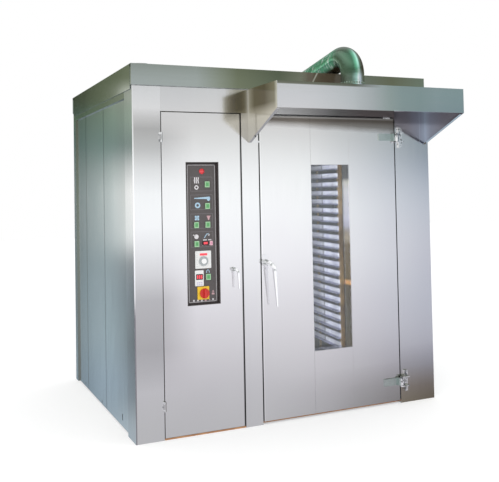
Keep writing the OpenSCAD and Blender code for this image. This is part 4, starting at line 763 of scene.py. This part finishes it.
def glow(name, colour, strength):
    paint = Paint(name, colour, 0.0, 0.4)
    paint.mottle(paint.noise(60), tuple(0.85 * c for c in colour))
    paint.lit(colour, strength)
    return paint.mat


def button_cap(name, colour, edge):
    """A lit cap, paler towards its edges."""
    paint = Paint(name, colour, 0.0, 0.3)
    paint.mottle(paint.noise(90, detail=4), tuple(0.88 * c for c in colour))
    on_cap = paint.tree.nodes.new("ShaderNodeTexCoord").outputs["Generated"]
    from_middle = [math_node(paint.tree, "SUBTRACT", paint.part_of(on_cap, letter), 0.5) for letter in "XZ"]
    ends = [math_node(paint.tree, "ABSOLUTE", value) for value in from_middle]
    paint.mottle(math_node(paint.tree, "MAXIMUM", *ends), edge, 0.26, 0.42)
    paint.lit(colour, 0.12)
    return paint.mat


def dial_plastic():
    """Grey skirt, white cap in the middle."""
    paint = Paint("dial_plastic", (0.42, 0.45, 0.46), 0.0, 0.3)
    paint.mottle(paint.noise(90, detail=4), (0.34, 0.37, 0.38))
    paint.blend(paint.zone("Y", PLATE_Y - 0.0108, PLATE_Y - 0.0112), (0.85, 0.85, 0.85))
    return paint.mat


def rubber():
    paint = Paint("rubber", (0.03, 0.03, 0.03), 0.0, 0.7)
    paint.mottle(paint.noise(80), (0.05, 0.05, 0.05))
    paint.bump(paint.noise(400), 0.0003)
    return paint.mat


LOOKS = {
    "casing": casing_steel().mat,
    "post": post_steel(),
    "jamb": jamb_steel(),
    "header": header_steel(),
    "service": service_steel(),
    "side": side_steel().mat,
    "side_panel": panel_steel(),
    "frame": frame_steel(),
    "fascia": fascia_steel(),
    "door": door_steel(),
    "canopy": canopy_steel(),
    "cheek": cheek_steel(),
    "lever": lever_steel(),
    "trim": trim_steel(),
    "polished": polished_steel(),
    "galvanised": galvanised(),
    "chamber": chamber_steel(),
    "rack": rack_steel(),
    "rail": rail_steel(),
    "mullion": mullion_steel(),
    "duct": duct_metal(),
    "primer": copper_primer(),
    "hot": hot_steel(),
    "wool": wool(),
    "glass": window_glass(),
    "bulb": glow("bulb", (1.0, 0.60, 0.24), 1.6),
    "rubber": rubber(),
    "castor": plastic("castor", (0.06, 0.06, 0.06), (0.1, 0.09, 0.08), 0.5),
    "panel": plastic("panel", (0.085, 0.075, 0.073), (0.10, 0.088, 0.090), 0.35),
    "white": plastic("white", (0.78, 0.78, 0.77), (0.7, 0.7, 0.7), 0.3),
    "dial": dial_plastic(),
    "yellow": plastic("yellow", (0.85, 0.55, 0.02), (0.75, 0.48, 0.02), 0.3),
    "red": plastic("red", (0.62, 0.03, 0.02), (0.5, 0.02, 0.02), 0.25),
    "green": button_cap("green", (0.10, 0.33, 0.12), (0.34, 0.54, 0.34)),
    "pink": button_cap("pink", (0.62, 0.26, 0.38), (0.72, 0.45, 0.50)),
    # near black: painted shadow in the panel's recess, and the screw head's own colour
    "shadow_and_screw_black": plastic("shadow_and_screw_black", (0.030, 0.022, 0.022), (0.045, 0.034, 0.034), 0.4),
    "crimp": crimp_metal(),
    "print_line": plastic("print_line", (0.20, 0.19, 0.20), (0.16, 0.15, 0.16), 0.5),
    "print_rim": plastic("print_rim", (0.42, 0.40, 0.41), (0.34, 0.33, 0.34), 0.4),
    "print_white": plastic("print_white", (0.72, 0.70, 0.72), (0.6, 0.58, 0.6), 0.5),
    "print_blue": plastic("print_blue", (0.42, 0.60, 0.74), (0.34, 0.5, 0.64), 0.5),
    "print_rose": plastic("print_rose", (0.62, 0.40, 0.42), (0.5, 0.3, 0.33), 0.5),
    "screen": plastic("screen", (0.05, 0.008, 0.012), (0.03, 0.005, 0.01), 0.15),
    "led_red": glow("led_red", (0.75, 0.06, 0.08), 0.5),
    "lilac": plastic("lilac", (0.55, 0.50, 0.66), (0.48, 0.44, 0.6), 0.4),
    "pilot": plastic("pilot", (0.72, 0.05, 0.06), (0.6, 0.03, 0.04), 0.12, Coat_Weight=1.0),
    "motor": enamel("motor", (0.12, 0.15, 0.19), (0.09, 0.11, 0.14)),
    "burner": enamel("burner", (0.42, 0.05, 0.04), (0.34, 0.04, 0.03)),
}

NODE_LOOKS = {
    "casing": ["flue_pipe"],
    "mullion": ["door_mullion"],
    "post": ["left_front_post"],
    "jamb": ["right_jamb"],
    "header": ["header_beam"],
    "side": ["right_side_panels", "back_panels"],
    "side_panel": ["left_side_panels"],
    "frame": ["side_frames"],
    "fascia": ["roof_fascia"],
    "door": ["main_door_skins", "main_door_core"],
    "service": ["service_door"],
    "canopy": ["canopy_shell"],
    "cheek": ["canopy_cheeks"],
    "polished": ["jamb_hinges", "door_hinge_leaves"],
    "lever": ["door_lever", "service_latch"],
    "trim": ["door_trim"],
    "galvanised": ["roof_deck", "chamber_lamps", "fan_casing", "fan_impeller", "exhaust_blower",
                   "blower_impeller"],
    "chamber": ["chamber_floor", "chamber_wall_liners", "chamber_ceiling"],
    "rack": ["rack_hanger", "rack_frame"],
    "rail": ["rack_rails"],
    "duct": ["exhaust_duct"],
    "primer": ["base_plate"],
    "hot": ["heat_exchanger", "steam_generator"],
    "wool": ["insulation_slabs"],
    "glass": ["window_panes"],
    "bulb": ["lamp_bulbs"],
    "rubber": ["door_seal"],
    "castor": ["castor_wheel_1", "castor_wheel_2", "castor_wheel_3", "castor_wheel_4"],
    "panel": ["control_panel"],
    "white": ["panel_instruments", "electrical_plate"],
    "dial": ["temperature_dial"],
    "red": ["main_switch_knob"],
    "green": ["burner_button", "steam_button", "fan_button", "lamp_button", "alarm_button", "timer_button"],
    "pink": ["reset_button"],
    "motor": ["fan_motor", "blower_motor", "rack_gearmotor"],
    "burner": ["burner"],
}

for look, names in NODE_LOOKS.items():
    for name in names:
        NODES[name].data.materials.clear()
        NODES[name].data.materials.append(LOOKS[look])

# ---- pieces on the control panel ----
# places on the instrument plate are millimetres from its lower left corner

MM = 0.001
PRINT_T = 0.0004
SHAFT_R = 4.3
CONTROLLER_DEPTH, COUNTER_DEPTH = 6, 4
DIAL_AT, SWITCH_AT = (116, 272), (119, 70)


def on_plate(x, z):
    return PANEL_LOW.x + x * MM, PANEL_LOW.z + z * MM


def mesh_piece(name, bm, look, body, bevel=0.0):
    bmesh.ops.recalc_face_normals(bm, faces=bm.faces)
    mesh = bpy.data.meshes.new(name)
    bm.to_mesh(mesh)
    bm.free()
    mesh.materials.append(LOOKS[look])
    obj = bpy.data.objects.new(name, mesh)
    bpy.context.scene.collection.objects.link(obj)
    if bevel:
        add_bevel(obj, bevel)
    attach(obj, body)
    return obj


def add_bevel(obj, width, segments=2):
    modifier = obj.modifiers.new("bevel", "BEVEL")
    modifier.width = width
    modifier.segments = segments
    modifier.limit_method = "ANGLE"


def loop_at(bm, outline, y):
    return [bm.verts.new((x, y, z)) for x, z in outline]


def skin(bm, loops):
    """Faces from each loop of points to the next."""
    for one, other in zip(loops, loops[1:]):
        for i in range(len(one)):
            j = (i + 1) % len(one)
            bm.faces.new((one[i], one[j], other[j], other[i]))


def prism(bm, outline, back, front):
    """A plate with an outline in X and Z, from y = back to y = front."""
    loops = [loop_at(bm, outline, y) for y in (back, front)]
    for loop in loops:
        bm.faces.new(loop)
    skin(bm, loops)


def hollow_prism(bm, outer, inner, back, front):
    """A plate with a hole; both outlines have as many points."""
    rear_out, face_out = [loop_at(bm, outer, y) for y in (back, front)]
    rear_in, face_in = [loop_at(bm, inner, y) for y in (back, front)]
    skin(bm, [rear_out, face_out, face_in, rear_in, rear_out])


def circle(centre, radius, points=28):
    turns = [2 * math.pi * i / points for i in range(points)]
    return [(centre[0] + radius * math.cos(t), centre[1] + radius * math.sin(t)) for t in turns]


def rounded(low, high, radius, steps=5):
    """A rectangle with rounded corners."""
    corners = [(high[0] - radius, high[1] - radius, 0), (low[0] + radius, high[1] - radius, 90),
               (low[0] + radius, low[1] + radius, 180), (high[0] - radius, low[1] + radius, 270)]
    points = []
    for x, z, start in corners:
        for i in range(steps + 1):
            turn = math.radians(start + 90 * i / steps)
            points.append((x + radius * math.cos(turn), z + radius * math.sin(turn)))
    return points


def placed(outline):
    return [on_plate(x, z) for x, z in outline]


def stroke(points, width):
    """The outline of a line of even width through some points."""
    left, right = [], []
    for i, (x, z) in enumerate(points):
        before, after = points[max(i - 1, 0)], points[min(i + 1, len(points) - 1)]
        dx, dz = after[0] - before[0], after[1] - before[1]
        length = math.hypot(dx, dz)
        nx, nz = -dz / length * width / 2, dx / length * width / 2
        left.append((x + nx, z + nz))
        right.append((x - nx, z - nz))
    return left + right[::-1]


def print_marks(name, look, plates=(), rings=(), lift=0.0, thick=PRINT_T):
    """Thin raised marks of one colour; lift is how far in front of the plate they start."""
    bm = bmesh.new()
    back = PLATE_Y - lift
    for outline in plates:
        prism(bm, placed(outline), back, back - thick)
    for outer, inner in rings:
        hollow_prism(bm, placed(outer), placed(inner), back, back - thick)
    mesh_piece(name, bm, look, "control_door")


def frame_ring(low, high, width, radius=3.0):
    """The outer and the inner outline of a frame."""
    inner = (low[0] + width, low[1] + width), (high[0] - width, high[1] - width)
    return rounded(low, high, radius), rounded(*inner, max(radius - width, 0.5))


def wavy(x, low, high, swing=1.6):
    """Points of an upright wavy line."""
    return [(x + swing * math.sin(math.pi * i / 4), low + (high - low) * i / 12) for i in range(13)]


def panel_prints():
    width, height = (PANEL_HIGH.x - PANEL_LOW.x) / MM, (PANEL_HIGH.z - PANEL_LOW.z) / MM
    # painted shadow: a near-black ring along the panel's edge, for the shade inside the recess
    edge = frame_ring((3, 3), (width - 3, height - 3), 12)
    print_marks("shadow_and_screw_black", "shadow_and_screw_black", rings=[edge], thick=PRINT_T / 2)
    print_marks("panel_rim", "print_rim", rings=[frame_ring((16, 15), (205, 880), 5, 8)])
    groups = [(712, 803), (595, 690), (477, 571), (360, 458)]
    frames = [frame_ring((36, low), (185, high), 2.6, 4) for low, high in groups]
    print_marks("group_lines", "print_line", rings=frames)

    steam = [stroke(wavy(x, 762, 800), 6.5) for x in (66, 78, 90)]
    bell = [circle((73, 426), 14.5), stroke([(51, 438), (64, 433)], 6)]
    hook = stroke([(126, 416), (133, 428), (142, 440), (152, 444), (158, 434)], 5)
    hook_end = circle((156, 436), 6.5, 14)
    legends = [rounded((116, 401), (142, 407), 1.5), rounded((151, 401), (173, 407), 1.5),
               rounded((110, 370), (146, 374), 1.5), rounded((158, 370), (173, 374), 1.5)]
    dots = [circle((x, z), 6.2, 16) for x, z in ((49, 27), (76, 27), (102, 25), (178, 28))]
    arch = stroke([(137, 196), (137, 208), (146, 216), (155, 208), (155, 196)], 4.5)
    print_marks("white_prints", "print_white", steam + bell + [hook_end] + legends + dots,
                [(circle((78, 736), 14), circle((78, 736), 7))])
    wedge = [(62, 665), (62, 670), (120, 674), (165, 677), (169, 668), (168, 656), (158, 648), (149, 654),
             (147, 662), (110, 663)]
    fan = [rounded((64 + dx, 529 + dz), (77 + dx, 542 + dz), 4) for dx in (0, 16) for dz in (0, 16)]
    print_marks("blue_prints", "print_blue", [wedge, *fan, circle((79, 543), 5, 12), arch, hook],
                [(circle((84, 623), 18), circle((84, 623), 8.5))])
    bulb = [(143, 556), (170, 556), (163, 540), (160, 529), (153, 529), (150, 540)]
    label = [rounded((170, 58), (188, 66), 1.5), rounded((172, 70), (186, 76), 1.5),
             rounded((175, 79), (184, 84), 1.5)]
    rose_dots = [circle((128, 26), 6.5, 16), circle((154, 27), 4, 16)]
    print_marks("rose_prints", "print_rose", [bulb, *label, *rose_dots])


def instrument(name, centre, size, depth, look, shaft_at=None, radius=4.0):
    """A bezel on the plate, with a hole if the shaft of a knob goes through it."""
    low = (centre[0] - size[0] / 2, centre[1] - size[1] / 2)
    high = (centre[0] + size[0] / 2, centre[1] + size[1] / 2)
    outline = rounded(low, high, radius)
    bm = bmesh.new()
    front = PLATE_Y - depth * MM
    if shaft_at:
        hole = []
        for x, z in outline:
            dx, dz = x - shaft_at[0], z - shaft_at[1]
            share = SHAFT_R / math.hypot(dx, dz)
            hole.append((shaft_at[0] + share * dx, shaft_at[1] + share * dz))
        hollow_prism(bm, placed(outline), placed(hole), PLATE_Y, front)
    else:
        prism(bm, placed(outline), PLATE_Y, front)
    piece = mesh_piece(name, bm, look, "control_door", 0.0012)
    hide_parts("panel_instruments")


def pilot_lamp(centre, radius, rise):
    """A domed red lens in a narrow collar."""
    bm = bmesh.new()
    collar, dome = 4.0, radius - 2
    profile = [(radius, 0.0), (radius, collar - 1), (radius - 1.2, collar)]
    for turn in (0.0, 0.35, 0.7, 1.0, 1.3):
        profile.append((dome * math.cos(turn), collar + (rise - collar) * math.sin(turn)))
    rings = [loop_at(bm, placed(circle(centre, r, 32)), PLATE_Y - out * MM) for r, out in profile]
    skin(bm, rings)
    bm.faces.new(rings[0])
    bm.faces.new(rings[-1])
    piece = mesh_piece("pilot_lamp", bm, "pilot", "control_door")
    for face in piece.data.polygons:
        face.use_smooth = len(face.vertices) == 4
    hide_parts("panel_instruments")


def panel_instruments():
    instrument("temperature_controller", (114, 281), (106, 110), CONTROLLER_DEPTH, "white", DIAL_AT)
    instrument("timer", (86, 166), (58, 98), CONTROLLER_DEPTH, "white")
    instrument("counter", (132, 384), (42, 26), COUNTER_DEPTH, "screen", radius=2.0)
    instrument("switch_plate", (112, 72), (78, 81), 5, "yellow", SWITCH_AT, radius=3.0)
    pilot_lamp((114, 838), 18, 11)
    on_front = CONTROLLER_DEPTH * MM
    print_marks("controller_bar", "led_red", [rounded((91, 307), (141, 321), 2)], lift=on_front)
    ticks = [circle((72, z), 2.0, 10) for z in range(240, 330, 14)]
    ticks += [stroke(ends, 1.2) for ends in zip(circle(DIAL_AT, 32, 12), circle(DIAL_AT, 35.5, 12))]
    print_marks("controller_ticks", "print_rim", ticks, lift=on_front)
    print_marks("timer_screen", "screen", [rounded((64, 156), (110, 192), 3)], lift=on_front)
    digits = [rounded((70 + 13 * i, 162), (79 + 13 * i, 186), 2) for i in range(3)]
    print_marks("timer_digits", "led_red", digits, lift=on_front + PRINT_T)
    print_marks("counter_digits", "led_red", [rounded((120, 377), (146, 391), 2)], lift=COUNTER_DEPTH * MM)
    corners = [(68 + 14 * i, 122 + 12 * j) for i in range(3) for j in range(2)]
    keys = [rounded((x, z), (x + 10, z + 7), 1.5) for x, z in corners]
    print_marks("timer_keys", "lilac", keys, lift=on_front)


panel_prints()
panel_instruments()
KNOB_EDGES = {"main_switch_knob": 0.002, "temperature_dial": 0.0008}
BUTTON_EDGE = 0.0015
for name, width in KNOB_EDGES.items():
    add_bevel(NODES[name], width)
for name in NODE_LOOKS["green"] + NODE_LOOKS["pink"]:
    add_bevel(NODES[name], BUTTON_EDGE)

# ---- crimped foot of the duct, and a screw in the door ----

PLEATS, PLEAT_DEPTH, POINTS_PER_PLEAT = 28, 0.0022, 6
# the section of the crimped band: how far outside the duct, how high above the canopy, pleated or not
CRIMP_SECTION = ((0.001, 0.001, 0), (0.006, 0.002, 1), (0.005, 0.014, 1), (0.001, 0.020, 0))


def duct_crimp():
    """A pleated band where the riser slips over its spigot."""
    bm = bmesh.new()
    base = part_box("canopy_shell")[1].z
    points = PLEATS * POINTS_PER_PLEAT
    loops = []
    for out, up, pleated in CRIMP_SECTION:
        loop = []
        for i in range(points):
            turn = 2 * math.pi * i / points
            r = DUCT_R + out + pleated * PLEAT_DEPTH * math.sin(PLEATS * turn)
            loop.append(bm.verts.new((DUCT_X + r * math.cos(turn), DUCT_Y + r * math.sin(turn), base + up)))
        loops.append(loop)
    skin(bm, loops + loops[:1])
    mesh_piece("duct_crimp", bm, "crimp", "oven_body")


SCREW_AT, SCREW_R, SCREW_RISE = (0.695, 0.176), 0.007, 0.0014


def door_screw():
    """A flat round head."""
    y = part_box("main_door_skins")[0].y
    bm = bmesh.new()
    prism(bm, circle(SCREW_AT, SCREW_R, 24), y, y - SCREW_RISE)
    mesh_piece("door_screw", bm, "shadow_and_screw_black", "baking_door", 0.0006)


duct_crimp()
door_screw()

# ---- light inside the chamber ----

rack_low, rack_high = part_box("rack_frame")
rack_x, window_z = (rack_low.x + rack_high.x) / 2, 1.15
area_light("chamber_front", (rack_x, rack_low.y - 0.09, window_z), (rack_x, 0.0, window_z),
           (0.5, 1.6), 22, (0.92, 0.92, 1.0))

bulb_low, bulb_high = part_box("lamp_bulbs")
LAMP_COUNT = 4
LAMP_INSET = 0.02  # from the ends of the bulbs' row
LAMP_REACH = 0.09  # from the bulbs into the chamber
lowest, highest = bulb_low.z + LAMP_INSET, bulb_high.z - LAMP_INSET
for i in range(LAMP_COUNT):
    z = lowest + (highest - lowest) * i / (LAMP_COUNT - 1)
    at = (bulb_low.x - LAMP_REACH, (bulb_low.y + bulb_high.y) / 2, z)
    lamp_light(f"lamp_{i + 1}", at, 0.35, 0.04, (1.0, 0.62, 0.30))
